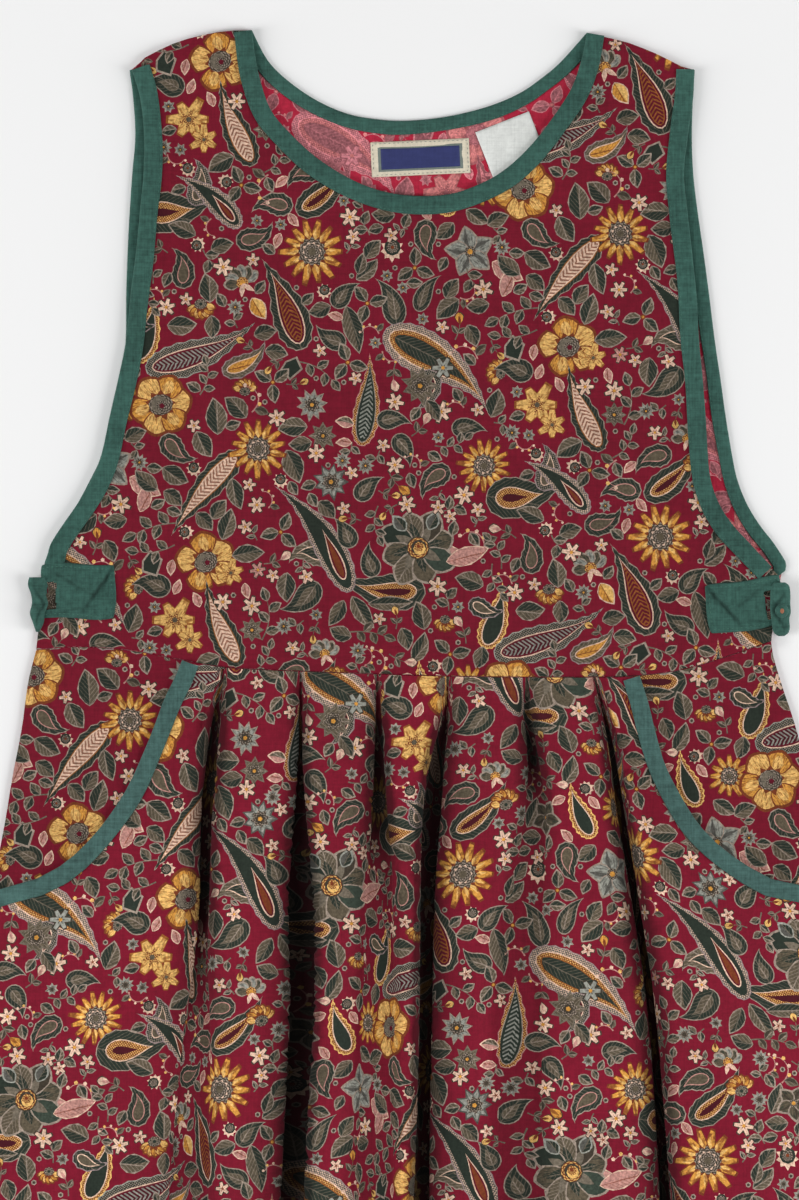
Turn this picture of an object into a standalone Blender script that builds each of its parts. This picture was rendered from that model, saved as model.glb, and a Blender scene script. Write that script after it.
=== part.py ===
"""A tank dress in printed cloth, lying on its back: a front and a back bodice with wide straps, a
pleated front skirt with bound pocket mouths, a back skirt, green bindings, side tabs and labels.

Metres, +Z up. The dress lies on Z = 0 with its neck towards +Y, and +X is the photo's right. The
tables hold millimetres, and each row is one section, fold or point of an outline.
"""

import math

import bmesh
import bpy
from mathutils import Vector

MM = 0.001

# Cloth and seams
WALL = 1.0 * MM
SKIRT_WALL = 1.2 * MM
SEAM = 0.3 * MM
WAIST_GAP = 0.6 * MM
BACK_WAIST_DROP = 3.0 * MM
LABEL_WALL = 0.5 * MM

# Bindings lie over a panel's edge and turn down past it
BINDING_WALL = 0.8 * MM
BINDING_LAP = 0.5 * MM
FRONT_BINDING_WIDTH = 11.0 * MM
BACK_BINDING_WIDTH = 8.0 * MM
POCKET_BINDING_WIDTH = 10.5 * MM

# Heights of the layers: the back lies on the floor, the front on the back
FRONT_BASE = WALL + SEAM
BINDING_LIFT = 1.6 * MM
LIFT_FLAT = 20.0 * MM
LIFT_REACH = 46.0 * MM
POCKET_BASE = FRONT_BASE + WALL + 1.0 * MM

# How finely the panels are divided
BODICE_CELL = 21.0 * MM
ARMHOLE_STEPS = 20
FRONT_UNDERARM_TRIM = 0.45
NECK_STEPS = 34
SHOULDER_STEPS = 5
WAIST_STEPS = 26

NECK_Y = 624.3 * MM
HEM_Y = -624.6 * MM
WAIST_Y = 200.0 * MM

# Armhole edges, from the shoulder down to the underarm
ARMHOLES = (
    # y, back left, front left, front right, back right
    (598.5, -184.6, -183.0, 185.6, 186.1),
    (580.0, -182.2, -177.6, 184.9, 184.9),
    (555.0, -180.8, -174.9, 181.5, 184.2),
    (530.0, -182.8, -175.3, 178.9, 185.1),
    (505.0, -184.5, -177.7, 181.2, 188.0),
    (480.0, -185.8, -180.0, 184.0, 191.6),
    (450.0, -186.8, -183.8, 187.1, 195.6),
    (420.0, -187.2, -186.8, 188.8, 199.3),
    (395.0, -190.5, -191.8, 191.2, 203.0),
    (370.0, -196.3, -197.5, 193.1, 206.5),
    (345.0, -202.6, -202.9, 194.6, 210.6),
    (328.0, -210.5, -209.5, 196.5, 214.2),
    (312.0, -219.0, -218.8, 202.0, 220.5),
    (298.0, -227.4, -228.5, 211.0, 228.9),
    (286.0, -235.6, -236.2, 222.0, 238.2),
    (274.0, -240.4, -240.0, 233.0, 246.0),
)

# Side seams, from the underarm down to the hem
SIDE_SEAMS = (
    # y, left, right
    (262.0, -242.0, 243.6),
    (240.0, -244.4, 239.6),
    (219.0, -247.4, 237.6),
    (196.0, -252.8, 243.5),
    (166.0, -256.4, 253.4),
    (133.0, -262.7, 261.5),
    (100.0, -268.2, 269.0),
    (51.5, -278.0, 279.5),
    (-48.0, -299.4, 301.0),
    (-180.0, -326.0, 328.6),
    (-378.0, -367.0, 368.6),
    (-624.6, -416.5, 416.5),
)

WAIST = (
    # x, y
    (-247.4, 215.8),
    (-221.1, 218.0),
    (-186.8, 215.8),
    (-157.1, 210.5),
    (-124.1, 204.6),
    (-72.6, 201.9),
    (-22.4, 200.0),
    (23.8, 198.6),
    (76.6, 198.0),
    (120.1, 198.0),
    (145.9, 198.6),
    (177.5, 202.6),
    (207.2, 211.2),
    (238.0, 221.7),
)

FRONT_NECK = (
    # x, y
    (-106.0, 624.3),
    (-103.6, 606.5),
    (-100.3, 590.7),
    (-93.1, 570.9),
    (-79.2, 554.4),
    (-61.4, 538.5),
    (-38.9, 524.7),
    (-17.2, 516.8),
    (4.6, 514.1),
    (25.7, 515.4),
    (44.2, 521.4),
    (62.0, 531.3),
    (79.9, 547.8),
    (95.7, 568.2),
    (106.9, 586.1),
    (113.5, 605.2),
    (116.8, 622.4),
)

BACK_NECK = (
    # x, y
    (-106.0, 624.3),
    (-93.1, 601.2),
    (-69.3, 581.4),
    (-44.2, 569.2),
    (-20.5, 564.6),
    (0.0, 564.0),
    (25.7, 567.0),
    (51.5, 573.5),
    (71.9, 582.1),
    (86.5, 592.0),
    (99.7, 603.2),
    (116.8, 622.4),
)

LEFT_SHOULDER = (
    # x, y
    (-184.6, 601.0),
    (-169.0, 609.8),
    (-153.1, 617.1),
    (-136.0, 621.6),
    (-120.8, 624.0),
    (-106.0, 624.3),
)

RIGHT_SHOULDER = (
    # x, y
    (116.8, 622.4),
    (128.7, 619.7),
    (144.5, 615.8),
    (161.0, 609.2),
    (176.9, 601.2),
    (186.1, 596.0),
)

LEFT_POCKET = (
    # x, y
    (-147.2, 207.9),
    (-153.8, 189.4),
    (-161.7, 172.9),
    (-168.3, 156.4),
    (-176.2, 139.9),
    (-186.1, 122.1),
    (-198.7, 104.9),
    (-211.9, 89.1),
    (-227.7, 74.6),
    (-244.9, 64.7),
    (-263.3, 58.7),
    (-277.4, 55.5),
)

RIGHT_POCKET = (
    # x, y
    (149.8, 199.0),
    (155.1, 182.8),
    (159.7, 163.0),
    (166.3, 139.9),
    (176.2, 120.1),
    (189.4, 99.6),
    (205.3, 83.8),
    (227.0, 69.3),
    (250.1, 59.5),
    (278.6, 55.5),
)

SIDE_FRONT_LAP = 18.0 * MM
MOUTH_FLAT = 16.0 * MM
MOUTH_RISE = 26.0 * MM
SIDE_FRONT_END = 40.0

# Sections of the front skirt, from the waist seam to the hem
SKIRT_ROWS = (200, 190, 176, 160, 143, 125, 107, 90, 76, 66, 60, 55.5, 40, 20, -15, -55, -100,
              -150, -225, -320, -425, -525, -624.6)

# Each pleat opens below the waist seam: its middle, how wide it gapes, how high its lips stand,
# how deep it goes and how far it reaches in under the lips
PLEATS = {
    "first": (
        # y, x, gap, rise, depth, reach
        (200, -123.5, 1.9, 1.4, 1.0, 0.0),
        (176, -127.0, 4.0, 4.0, 3.4, 0.6),
        (143, -131.0, 6.6, 8.0, 7.4, 1.6),
        (107, -134.5, 7.0, 10.0, 9.4, 2.2),
        (55, -136.0, 6.4, 10.0, 9.0, 2.0),
        (20, -138.0, 8.0, 8.0, 5.6, 0.8),
        (-55, -142.0, 20.0, 6.0, 3.0, 0.0),
        (-225, -152.0, 30.0, 6.0, 4.0, 0.0),
        (-624.5, -187.0, 44.0, 8.0, 6.4, 0.0),
    ),
    "second": (
        # y, x, gap, rise, depth, reach
        (200, -72.6, 1.8, 1.4, 1.0, 0.0),
        (176, -72.6, 2.2, 4.0, 3.4, 0.4),
        (143, -72.8, 2.6, 7.0, 6.4, 1.2),
        (107, -72.8, 7.0, 11.0, 10.4, 3.0),
        (55, -72.6, 15.0, 15.0, 14.4, 4.6),
        (-15, -71.6, 15.4, 17.0, 16.4, 5.0),
        (-100, -76.0, 14.6, 17.0, 16.4, 5.0),
        (-225, -82.0, 17.0, 16.0, 15.0, 4.0),
        (-624.5, -106.0, 36.0, 12.0, 10.6, 0.0),
    ),
    "third": (
        # y, x, gap, rise, depth, reach
        (200, -22.4, 1.8, 1.4, 1.0, 0.0),
        (176, -21.4, 3.6, 4.0, 3.4, 0.6),
        (143, -21.0, 6.0, 8.0, 7.2, 1.6),
        (107, -20.6, 10.0, 9.0, 7.2, 1.2),
        (66, -20.4, 16.0, 8.0, 4.0, 0.0),
        (-55, -22.0, 22.0, 8.0, 2.2, 0.0),
        (-225, -26.0, 26.0, 9.0, 3.4, 0.0),
        (-624.5, -36.0, 40.0, 9.0, 6.4, 0.0),
    ),
    "fourth": (
        # y, x, gap, rise, depth, reach
        (200, 24.0, 1.8, 1.4, 1.0, 0.0),
        (176, 23.0, 3.0, 4.0, 3.4, 0.6),
        (143, 17.4, 9.0, 9.0, 8.4, 2.4),
        (107, 13.6, 11.6, 12.0, 11.4, 3.4),
        (55, 11.0, 9.0, 13.0, 12.4, 3.4),
        (-15, 9.8, 8.0, 13.0, 12.2, 3.0),
        (-100, 8.0, 8.4, 13.0, 12.0, 2.6),
        (-225, 5.0, 14.0, 12.0, 10.6, 1.4),
        (-624.5, -4.0, 34.0, 11.0, 8.6, 0.0),
    ),
    "fifth": (
        # y, x, gap, rise, depth, reach
        (200, 76.6, 1.8, 1.4, 1.0, 0.0),
        (176, 77.0, 4.4, 4.0, 3.4, 0.6),
        (143, 80.6, 7.0, 7.0, 5.6, 1.0),
        (107, 82.0, 14.0, 7.4, 3.4, 0.0),
        (20, 74.0, 24.0, 8.0, 2.6, 0.0),
        (-150, 72.0, 30.0, 9.0, 3.4, 0.0),
        (-624.5, 80.0, 44.0, 9.0, 6.6, 0.0),
    ),
    "sixth": (
        # y, x, gap, rise, depth, reach
        (200, 121.0, 1.8, 1.4, 1.0, 0.0),
        (176, 127.4, 2.4, 4.0, 3.4, 0.4),
        (143, 133.4, 3.6, 7.0, 6.4, 1.4),
        (107, 138.4, 4.6, 9.0, 8.4, 2.2),
        (55, 147.0, 4.6, 11.0, 10.4, 2.6),
        (-15, 157.6, 4.8, 12.0, 11.4, 2.8),
        (-100, 164.6, 6.0, 12.0, 11.2, 2.6),
        (-225, 172.0, 10.0, 11.0, 9.4, 1.0),
        (-624.5, 200.0, 34.0, 10.0, 7.8, 0.0),
    ),
}

# Broad soft swells of the front bodice
BODICE_SWELLS = (
    # x, y, length, width, turn in degrees, height
    (-40.0, 455.0, 150.0, 40.0, 18.0, 0.9),
    (95.0, 420.0, 130.0, 36.0, -24.0, 0.9),
    (-120.0, 330.0, 120.0, 34.0, 40.0, 0.8),
    (40.0, 300.0, 160.0, 40.0, 6.0, 0.8),
    (150.0, 290.0, 90.0, 28.0, -38.0, 0.7),
)

# Broad soft ridges of the front skirt between and beside the pleats
SKIRT_RIDGES = (
    # x above, y above, x below, y below, width, height
    (-205.0, 60.0, -240.0, -624.0, 26.0, 4.0),
    (-168.0, 20.0, -196.0, -624.0, 18.0, 3.0),
    (-48.0, 140.0, -64.0, -624.0, 20.0, 2.6),
    (48.0, 120.0, 40.0, -624.0, 22.0, 2.4),
    (110.0, 90.0, 128.0, -624.0, 20.0, 2.4),
    (196.0, 40.0, 262.0, -624.0, 26.0, 4.0),
    (240.0, 10.0, 340.0, -624.0, 28.0, 3.4),
)

# Side tabs: the corner nearest the middle and neck, then the size, the turn and the slot's shares
SIDE_TABS = (
    # side, x, y, wide, high, turn in degrees, slot from, slot to, slot top, slot bottom
    ("left", -194.8, 272.4, 48.6, 36.2, 0.6, 0.80, 0.93, 0.34, 0.83),
    ("right", 192.7, 258.0, 50.0, 33.0, 8.5, 0.775, 0.92, 0.28, 0.86),
)
TAB_END_PLACES = (
    # side, inner edge x, top y, wide, high
    ("left", -239.2, 263.8, 13.2, 36.0),
    ("right", 236.6, 260.4, 13.6, 35.4),
)
TAB_END_SHAPE = (
    # along, left edge, right edge
    (0.00, 0.16, 0.94),
    (0.14, 0.02, 1.00),
    (0.32, 0.10, 0.84),
    (0.48, 0.00, 0.80),
    (0.66, 0.16, 0.90),
    (0.84, 0.22, 0.74),
    (1.00, 0.44, 0.60),
)
BUTTON_PLACE = (244.0, 241.6)
BUTTON_WIDE = 9.0 * MM
BUTTON_HIGH = 2.6 * MM

NECK_LABEL = {"x": 6.2, "y": 540.6, "wide": 65.0, "high": 23.0, "turn": 2.6}
CARE_LABEL = {"x": 66.3, "y": 548.4, "wide": 38.0, "high": 34.0, "turn": 21.5}

FINISHES = {
    # name: colour, roughness
    "print": ((0.262, 0.012, 0.033), 0.85),
    "green": ((0.034, 0.122, 0.089), 0.80),
    "pocket green": ((0.051, 0.150, 0.144), 0.80),
    "label": ((0.750, 0.680, 0.550), 0.70),
    "white label": ((0.760, 0.780, 0.760), 0.70),
}


def points(rows):
    """The rows of an outline as points in metres."""
    return [Vector((x * MM, y * MM)) for x, y in rows]


def smooth_path(rows, count):
    """Points spaced evenly along a smooth curve through the rows."""
    knots = points(rows)
    fine = []
    for i in range(len(knots) - 1):
        before = knots[max(i - 1, 0)]
        after = knots[min(i + 2, len(knots) - 1)]
        for step in range(8):
            fine.append(curve_point(before, knots[i], knots[i + 1], after, step / 8))
    fine.append(knots[-1])
    return spaced(fine, count)


def curve_point(p0, p1, p2, p3, t):
    """A point of a Catmull-Rom curve between p1 and p2."""
    return 0.5 * (2 * p1 + (p2 - p0) * t + (2 * p0 - 5 * p1 + 4 * p2 - p3) * t * t
                  + (3 * p1 - p0 - 3 * p2 + p3) * t ** 3)


def spaced(path, count):
    """count points at even distances along a path."""
    along = [0.0]
    for a, b in zip(path, path[1:]):
        along.append(along[-1] + (b - a).length)
    result = []
    k = 0
    for i in range(count):
        want = along[-1] * i / (count - 1)
        while k < len(path) - 2 and along[k + 1] < want:
            k += 1
        share = (want - along[k]) / max(along[k + 1] - along[k], 1e-9)
        result.append(path[k].lerp(path[k + 1], min(share, 1.0)))
    return result


def table_at(rows, at, column, across=0):
    """A column's value where the across column reads at, by a smooth curve through the rows."""
    ordered = sorted(rows, key=lambda row: row[across])
    if at <= ordered[0][across]:
        return ordered[0][column]
    if at >= ordered[-1][across]:
        return ordered[-1][column]
    i = max(k for k in range(len(ordered) - 1) if ordered[k][across] <= at)
    low, high = ordered[i], ordered[i + 1]
    span = high[across] - low[across]
    t = (at - low[across]) / span
    ends = []
    for k in (i, i + 1):
        near = ordered[max(k - 1, 0)], ordered[min(k + 1, len(ordered) - 1)]
        slope = (near[1][column] - near[0][column]) / (near[1][across] - near[0][across])
        ends.append(slope * span)
    return ((2 * t ** 3 - 3 * t * t + 1) * low[column] + (t ** 3 - 2 * t * t + t) * ends[0]
            + (3 * t * t - 2 * t ** 3) * high[column] + (t ** 3 - t * t) * ends[1])


def waist_y(x):
    """The waist seam's Y at x, in metres."""
    return table_at(WAIST, x / MM, 1) * MM


def side_x(y, side, layer):
    """The outer edge of the bodice or skirt at y: the armhole above the underarm, else the seam."""
    column = {("left", "back"): 1, ("left", "front"): 2, ("right", "front"): 3, ("right", "back"): 4}
    arm = [(row[0], row[column[side, layer]]) for row in ARMHOLES]
    seam = [(row[0], row[1 if side == "left" else 2]) for row in SIDE_SEAMS]
    return table_at(seam + arm, y / MM, 1) * MM


def distance_to(point, path):
    """The shortest distance from a point to a path."""
    best = 1.0
    for a, b in zip(path, path[1:]):
        along = b - a
        share = (point - a).dot(along) / max(along.length_squared, 1e-12)
        best = min(best, (point - a - along * min(max(share, 0.0), 1.0)).length)
    return best


def eased(value):
    """0 to 1 with a soft start and end."""
    value = min(max(value, 0.0), 1.0)
    return value * value * (3 - 2 * value)


def armhole_path(side, layer):
    """An armhole edge from the underarm up to the shoulder."""
    column = {("left", "back"): 1, ("left", "front"): 2, ("right", "front"): 3, ("right", "back"): 4}
    rows = [(row[column[side, layer]], row[0]) for row in reversed(ARMHOLES)]
    return points(rows)


RAISERS = [points(BACK_NECK), points(FRONT_NECK), armhole_path("left", "back"),
           armhole_path("right", "back")]


def front_height(x, y):
    """How high the underside of the front bodice lies."""
    here = Vector((x, y))
    near = min(distance_to(here, path) for path in RAISERS)
    lift = eased((LIFT_REACH - near) / (LIFT_REACH - LIFT_FLAT))
    swell = 0.0
    for sx, sy, length, width, turn, height in BODICE_SWELLS:
        away = here - Vector((sx, sy)) * MM
        cos, sin = math.cos(math.radians(turn)), math.sin(math.radians(turn))
        along = (away.x * cos + away.y * sin) / (length * MM)
        across = (away.y * cos - away.x * sin) / (width * MM)
        swell += height * MM * math.exp(-2 * (along * along + across * across))
    waist = eased((y - WAIST_Y) / 0.05)
    return FRONT_BASE + BINDING_LIFT * lift + swell * waist * (1 - lift)


def back_height(x, y):
    """The back lies on the floor."""
    return 0.0


def finish(name, base):
    """A piece's own material."""
    colour, roughness = FINISHES[base]
    material = bpy.data.materials.new(name)
    material.use_nodes = True
    shader = material.node_tree.nodes["Principled BSDF"]
    shader.inputs["Base Color"].default_value = (*colour, 1.0)
    shader.inputs["Roughness"].default_value = roughness
    shader.inputs["Metallic"].default_value = 0.0
    return material


def piece(name, bm, base, thickness=0.0, offset=1.0, even=True):
    """Turns a bmesh into a named piece of the dress, with a wall if it is an open sheet."""
    bmesh.ops.recalc_face_normals(bm, faces=bm.faces)
    if thickness:
        upward = sum(face.normal.z * face.calc_area() for face in bm.faces)
        if upward < 0:
            bmesh.ops.reverse_faces(bm, faces=bm.faces)
    mesh = bpy.data.meshes.new(name)
    bm.to_mesh(mesh)
    bm.free()
    mesh.materials.append(finish(name, base))
    made = bpy.data.objects.new(name, mesh)
    dress.objects.link(made)
    if thickness:
        wall = made.modifiers.new("wall", "SOLIDIFY")
        wall.thickness = thickness
        wall.offset = offset
        wall.use_even_offset = even
    return made


def laid_grid(columns, rows, place):
    """A grid whose corner at column i and row j is put at place(i, j)."""
    bm = bmesh.new()
    bmesh.ops.create_grid(bm, x_segments=columns, y_segments=rows, size=1.0)
    for vert in bm.verts:
        i = round((vert.co.x + 1) / 2 * columns)
        j = round((vert.co.y + 1) / 2 * rows)
        vert.co = place(i, j)
    return bm


def bodice(name, layer, neck, height, drop):
    """One bodice panel: its outline is cut out, divided, laid at its height and given its wall."""
    arms = {}
    for side, column in (("left", 1 if layer == "back" else 2), ("right", 4 if layer == "back" else 3)):
        rows = [(row[column], row[0]) for row in reversed(ARMHOLES)]
        if layer == "front":
            rows[0] = [a + (b - a) * FRONT_UNDERARM_TRIM for a, b in zip(rows[0], rows[1])]
        arms[side] = smooth_path(rows, ARMHOLE_STEPS)
    low = {}
    for side in ("left", "right"):
        x = side_x(WAIST_Y + 0.020, side, layer)
        start = Vector((x, waist_y(x) + WAIST_GAP / 2 - drop))
        low[side] = [start.lerp(arms[side][0], share) for share in (0.0, 0.33, 0.66)]
        for spot in low[side][1:]:
            spot.x = side_x(spot.y, side, layer)
    collar = smooth_path(neck, NECK_STEPS)
    left_end = Vector((arms["left"][-1].x, arms["left"][-1].y))
    right_end = Vector((arms["right"][-1].x, arms["right"][-1].y))
    outline = low["left"] + arms["left"][:-1]
    outline += [left_end] + smooth_path(LEFT_SHOULDER, SHOULDER_STEPS)[1:-1]
    outline += collar + smooth_path(RIGHT_SHOULDER, SHOULDER_STEPS)[1:-1] + [right_end]
    outline += list(reversed(arms["right"][:-1])) + list(reversed(low["right"]))
    for k in range(1, WAIST_STEPS):
        x = low["right"][0].x + (low["left"][0].x - low["right"][0].x) * k / WAIST_STEPS
        outline.append(Vector((x, waist_y(x) + WAIST_GAP / 2 - drop)))

    bm = bmesh.new()
    bm.faces.new([bm.verts.new((spot.x, spot.y, 0.0)) for spot in outline])
    for along, across in ((0, Vector((1, 0, 0))), (1, Vector((0, 1, 0)))):
        spots = [vert.co[along] for vert in bm.verts]
        for k in range(math.floor(min(spots) / BODICE_CELL), math.ceil(max(spots) / BODICE_CELL)):
            everything = bm.verts[:] + bm.edges[:] + bm.faces[:]
            bmesh.ops.bisect_plane(bm, geom=everything, dist=0.4 * MM, plane_no=across,
                                   plane_co=across * (k + 0.5) * BODICE_CELL)
    for vert in bm.verts:
        vert.co.z = height(vert.co.x, vert.co.y)
    bmesh.ops.triangulate(bm, faces=bm.faces)
    panel = piece(name, bm, "print", WALL, 1.0, False)
    edges = {"left": arms["left"], "right": arms["right"], "neck": collar}
    for edge in edges.values():
        edge[:] = [Vector((spot.x, spot.y, height(spot.x, spot.y))) for spot in edge]
    return panel, edges


def binding(name, edge, inward, width, height, panel_wall, base="green"):
    """A band over a panel's edge: edge is the panel's own points, inward is 1 if the panel lies to
    the left of its run and -1 if to the right."""
    outer_gap = SEAM
    section = (
        # distance in from the edge, layer
        (width, "under"),
        (width, "over"),
        (-outer_gap - BINDING_WALL, "over"),
        (-outer_gap - BINDING_WALL, "foot"),
        (-outer_gap, "foot"),
        (-outer_gap, "under"),
    )

    def place(i, j):
        away, layer = section[j % len(section)]
        before = edge[max(i - 1, 0)].xy
        after = edge[min(i + 1, len(edge) - 1)].xy
        run_in = (edge[i].xy - before).normalized() if i else (after - edge[i].xy).normalized()
        run_out = (after - edge[i].xy).normalized() if i < len(edge) - 1 else run_in
        run = (run_in + run_out).normalized()
        normal = Vector((-run.y, run.x)) * inward
        mitre = max(run.dot(run_out), 0.8)
        spot = edge[i].xy + normal * (away / mitre)
        foot = edge[i].z
        lift = max(height(spot.x, spot.y) if away > 0 else foot, foot if away < 0 else 0.0)
        if layer == "foot":
            return Vector((spot.x, spot.y, foot))
        z = lift + panel_wall + BINDING_LAP
        if layer == "over":
            z += BINDING_WALL
        return Vector((spot.x, spot.y, z))

    bm = laid_grid(len(edge) - 1, len(section), place)
    bmesh.ops.remove_doubles(bm, verts=bm.verts, dist=1e-6)
    ends = [e for e in bm.edges if e.is_boundary]
    bmesh.ops.holes_fill(bm, edges=ends)
    bmesh.ops.triangulate(bm, faces=[f for f in bm.faces if len(f.verts) > 4])
    return piece(name, bm, base)


def back_skirt():
    """The plain back of the skirt, flat on the floor."""
    columns, rows = 12, 13

    def place(i, j):
        share = i / columns
        level = j / rows
        x = side_x(WAIST_Y + 0.018, "left", "back") * (1 - share)
        x += side_x(WAIST_Y + 0.018, "right", "back") * share
        top = waist_y(x) - WAIST_GAP / 2 - BACK_WAIST_DROP
        y = top + (HEM_Y - top) * level
        left, right = side_x(y, "left", "back"), side_x(y, "right", "back")
        return Vector((left + (right - left) * share, y, 0.0))

    return piece("back_skirt", laid_grid(columns, rows, place), "print", WALL, 1.0, False)


def pocket_x(side, y):
    """The pocket mouth's X at y, in metres, or the side seam's below the pocket."""
    rows = LEFT_POCKET if side == "left" else RIGHT_POCKET
    if y / MM < rows[-1][1]:
        return side_x(y, side, "front")
    return table_at(rows, y / MM, 0, across=1) * MM


def side_front(side):
    """The side front, which backs the pocket: from the side seam to just inside the mouth."""
    sign = -1 if side == "left" else 1
    rows, columns = 12, 6
    mouth = smooth_path(LEFT_POCKET if side == "left" else RIGHT_POCKET, rows + 1)

    def place(i, j):
        run = (mouth[min(j + 1, rows)] - mouth[max(j - 1, 0)]).normalized()
        inner = mouth[j] + Vector((-run.y, run.x)) * SIDE_FRONT_LAP * -sign
        if j == 0:
            inner = Vector((mouth[0].x - sign * SIDE_FRONT_LAP, 0))
            inner.y = waist_y(inner.x) - WAIST_GAP / 2
        low = SIDE_FRONT_END * MM
        top_x = side_x(WAIST_Y + 0.018, side, "front")
        level = (j / rows) ** 0.9
        outer_y = (waist_y(top_x) - WAIST_GAP / 2) * (1 - level) + low * level
        outer = Vector((side_x(outer_y, side, "front"), outer_y))
        if j == 0:
            x = outer.x + (inner.x - outer.x) * i / columns
            return Vector((x, waist_y(x) - WAIST_GAP / 2, FRONT_BASE))
        spot = outer.lerp(inner, i / columns)
        spot.x = min(spot.x, outer.x) if side == "right" else max(spot.x, outer.x)
        return Vector((spot.x, spot.y, FRONT_BASE))

    return piece(f"side_front_{side}", laid_grid(columns, rows, place), "print", WALL, 1.0, False)


def ridges(x, y):
    """The soft ridges of the skirt front."""
    total = 0.0
    for x0, y0, x1, y1, width, height in SKIRT_RIDGES:
        if y / MM > y0:
            continue
        level = (y0 - y / MM) / (y0 - y1)
        middle = x0 + (x1 - x0) * level
        away = (x / MM - middle) / width
        total += height * MM * math.exp(-away * away) * eased((y0 - y / MM) / 60)
    return total


def beside_mouth(x, y, edge_low, z):
    """Keeps the skirt front low and flat within a binding's width of a pocket mouth."""
    here = Vector((x, y))
    near = min(distance_to(here, points(LEFT_POCKET)), distance_to(here, points(RIGHT_POCKET)))
    return edge_low + (z - edge_low) * eased((near - MOUTH_FLAT) / MOUTH_RISE)


def skirt_section(y):
    """The front skirt's section at y: X and Z of its middle surface, side to side."""
    left, right = pocket_x("left", y), pocket_x("right", y)
    low = FRONT_BASE + SKIRT_WALL / 2
    over_pocket = eased((y / MM - 2) / 24)
    edge_low = low + (POCKET_BASE - FRONT_BASE) * over_pocket
    folds = []
    for rows in PLEATS.values():
        folds.append([table_at(rows, y / MM, column) * MM for column in range(1, 6)])
    section = [(left, edge_low), (left + 0.014, edge_low), (left + 0.027, edge_low)]
    first = folds[0]
    start, stop = left + 0.027, first[0] - first[1] / 2 - 0.004
    for share in (0.33, 0.66):
        x = start + (stop - start) * share
        z = edge_low + (low + first[2] - edge_low) * eased(share) + ridges(x, y)
        section.append((x, beside_mouth(x, y, edge_low, z)))
    for k, (middle, gap, rise, depth, reach) in enumerate(folds):
        lip = low + max(rise, 0.0)
        floor = low + max(rise - depth, 0.0)
        half = gap / 2
        turn = min(0.004, 0.5 * (rise + 0.003))
        section += [
            (middle - half - turn, lip),
            (middle - half, lip - 0.16 * depth),
            (middle - half - reach, lip - 0.62 * depth),
            (middle - half * 0.55, floor),
            (middle + half * 0.55, floor),
            (middle + half + reach, lip - 0.62 * depth),
            (middle + half, lip - 0.16 * depth),
            (middle + half + turn, lip),
        ]
        if k + 1 < len(folds):
            after = folds[k + 1]
            start = middle + half + turn
            stop = after[0] - after[1] / 2 - min(0.004, 0.5 * (after[2] + 0.003))
            for share in (0.3, 0.7):
                x = start + (stop - start) * share
                z = low + rise + (after[2] - rise) * share
                section.append((x, z + ridges(x, y)))
    last = folds[-1]
    start, stop = last[0] + last[1] / 2 + 0.004, right - 0.027
    for share in (0.33, 0.66):
        x = start + (stop - start) * share
        z = edge_low + (low + last[2] - edge_low) * eased(1 - share) + ridges(x, y)
        section.append((x, beside_mouth(x, y, edge_low, z)))
    section += [(right - 0.027, edge_low), (right - 0.014, edge_low), (right, edge_low)]
    return section


def skirt_point(section, i, level):
    """A point of the front skirt; near the waist the rows follow the waist seam."""
    x, z = section[i]
    y = level * MM
    follow = eased((level - 100) / 90)
    y += (waist_y(x) - WAIST_Y) * follow - WAIST_GAP / 2 * eased((level - 150) / 50)
    return Vector((x, y, z))


def front_skirt():
    """The pleated front of the skirt, lofted through its sections."""
    sections = [skirt_section(level * MM) for level in SKIRT_ROWS]

    def place(i, j):
        return skirt_point(sections[j], i, SKIRT_ROWS[j])

    columns, rows = len(sections[0]) - 1, len(SKIRT_ROWS) - 1
    bm = laid_grid(columns, rows, place)
    panel = piece("front_skirt", bm, "print", SKIRT_WALL, 0.0, False)
    last_row = max(j for j in range(rows + 1) if SKIRT_ROWS[j] >= 55)
    drop = Vector((0, 0, SKIRT_WALL / 2))
    edges = {
        "left": [place(0, j) - drop for j in range(last_row + 1)],
        "right": [place(columns, j) - drop for j in range(last_row + 1)],
    }
    return panel, edges


def pocket_height(x, y):
    """The underside of the front skirt beside a pocket mouth."""
    return POCKET_BASE


def turned(x, y, degrees):
    """A point turned about the origin."""
    angle = math.radians(degrees)
    return Vector((x * math.cos(angle) - y * math.sin(angle), x * math.sin(angle) + y * math.cos(angle)))


def side_tab(row):
    """A stitched tab on the bodice, with a slot near its outer end."""
    side, x, y, wide, high, turn, slot_from, slot_to, slot_top, slot_bottom = row
    sign = -1 if side == "left" else 1
    across = (0.0, slot_from / 2, slot_from, slot_to, 1.0)
    down = (0.0, slot_top, slot_bottom, 1.0)

    def place(i, j):
        spot = turned(across[i] * wide * MM, -down[j] * high * MM, turn)
        spot = Vector((x * MM + sign * spot.x, y * MM + spot.y))
        return Vector((spot.x, spot.y, front_height(spot.x, spot.y) + WALL + 2 * SEAM))

    bm = laid_grid(len(across) - 1, len(down) - 1, place)
    slot_corners = {tuple(round(v, 7) for v in place(i, j)) for i in (2, 3) for j in (1, 2)}
    slot = [f for f in bm.faces if {tuple(round(v, 7) for v in vert.co) for vert in f.verts} == slot_corners]
    bmesh.ops.delete(bm, geom=slot, context="FACES")
    return piece(f"side_tab_{side}", bm, "green", WALL, 1.0, False)


def tab_end_base(x0, y0, high):
    """The height of a folded tab end's underside: on the highest part of the tab beneath it."""
    beneath = [front_height(x0 * MM, (y0 - high * share) * MM) for share in (0, 0.2, 0.4, 0.6, 0.8, 1)]
    return max(beneath) + 2 * WALL + 3 * SEAM


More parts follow.
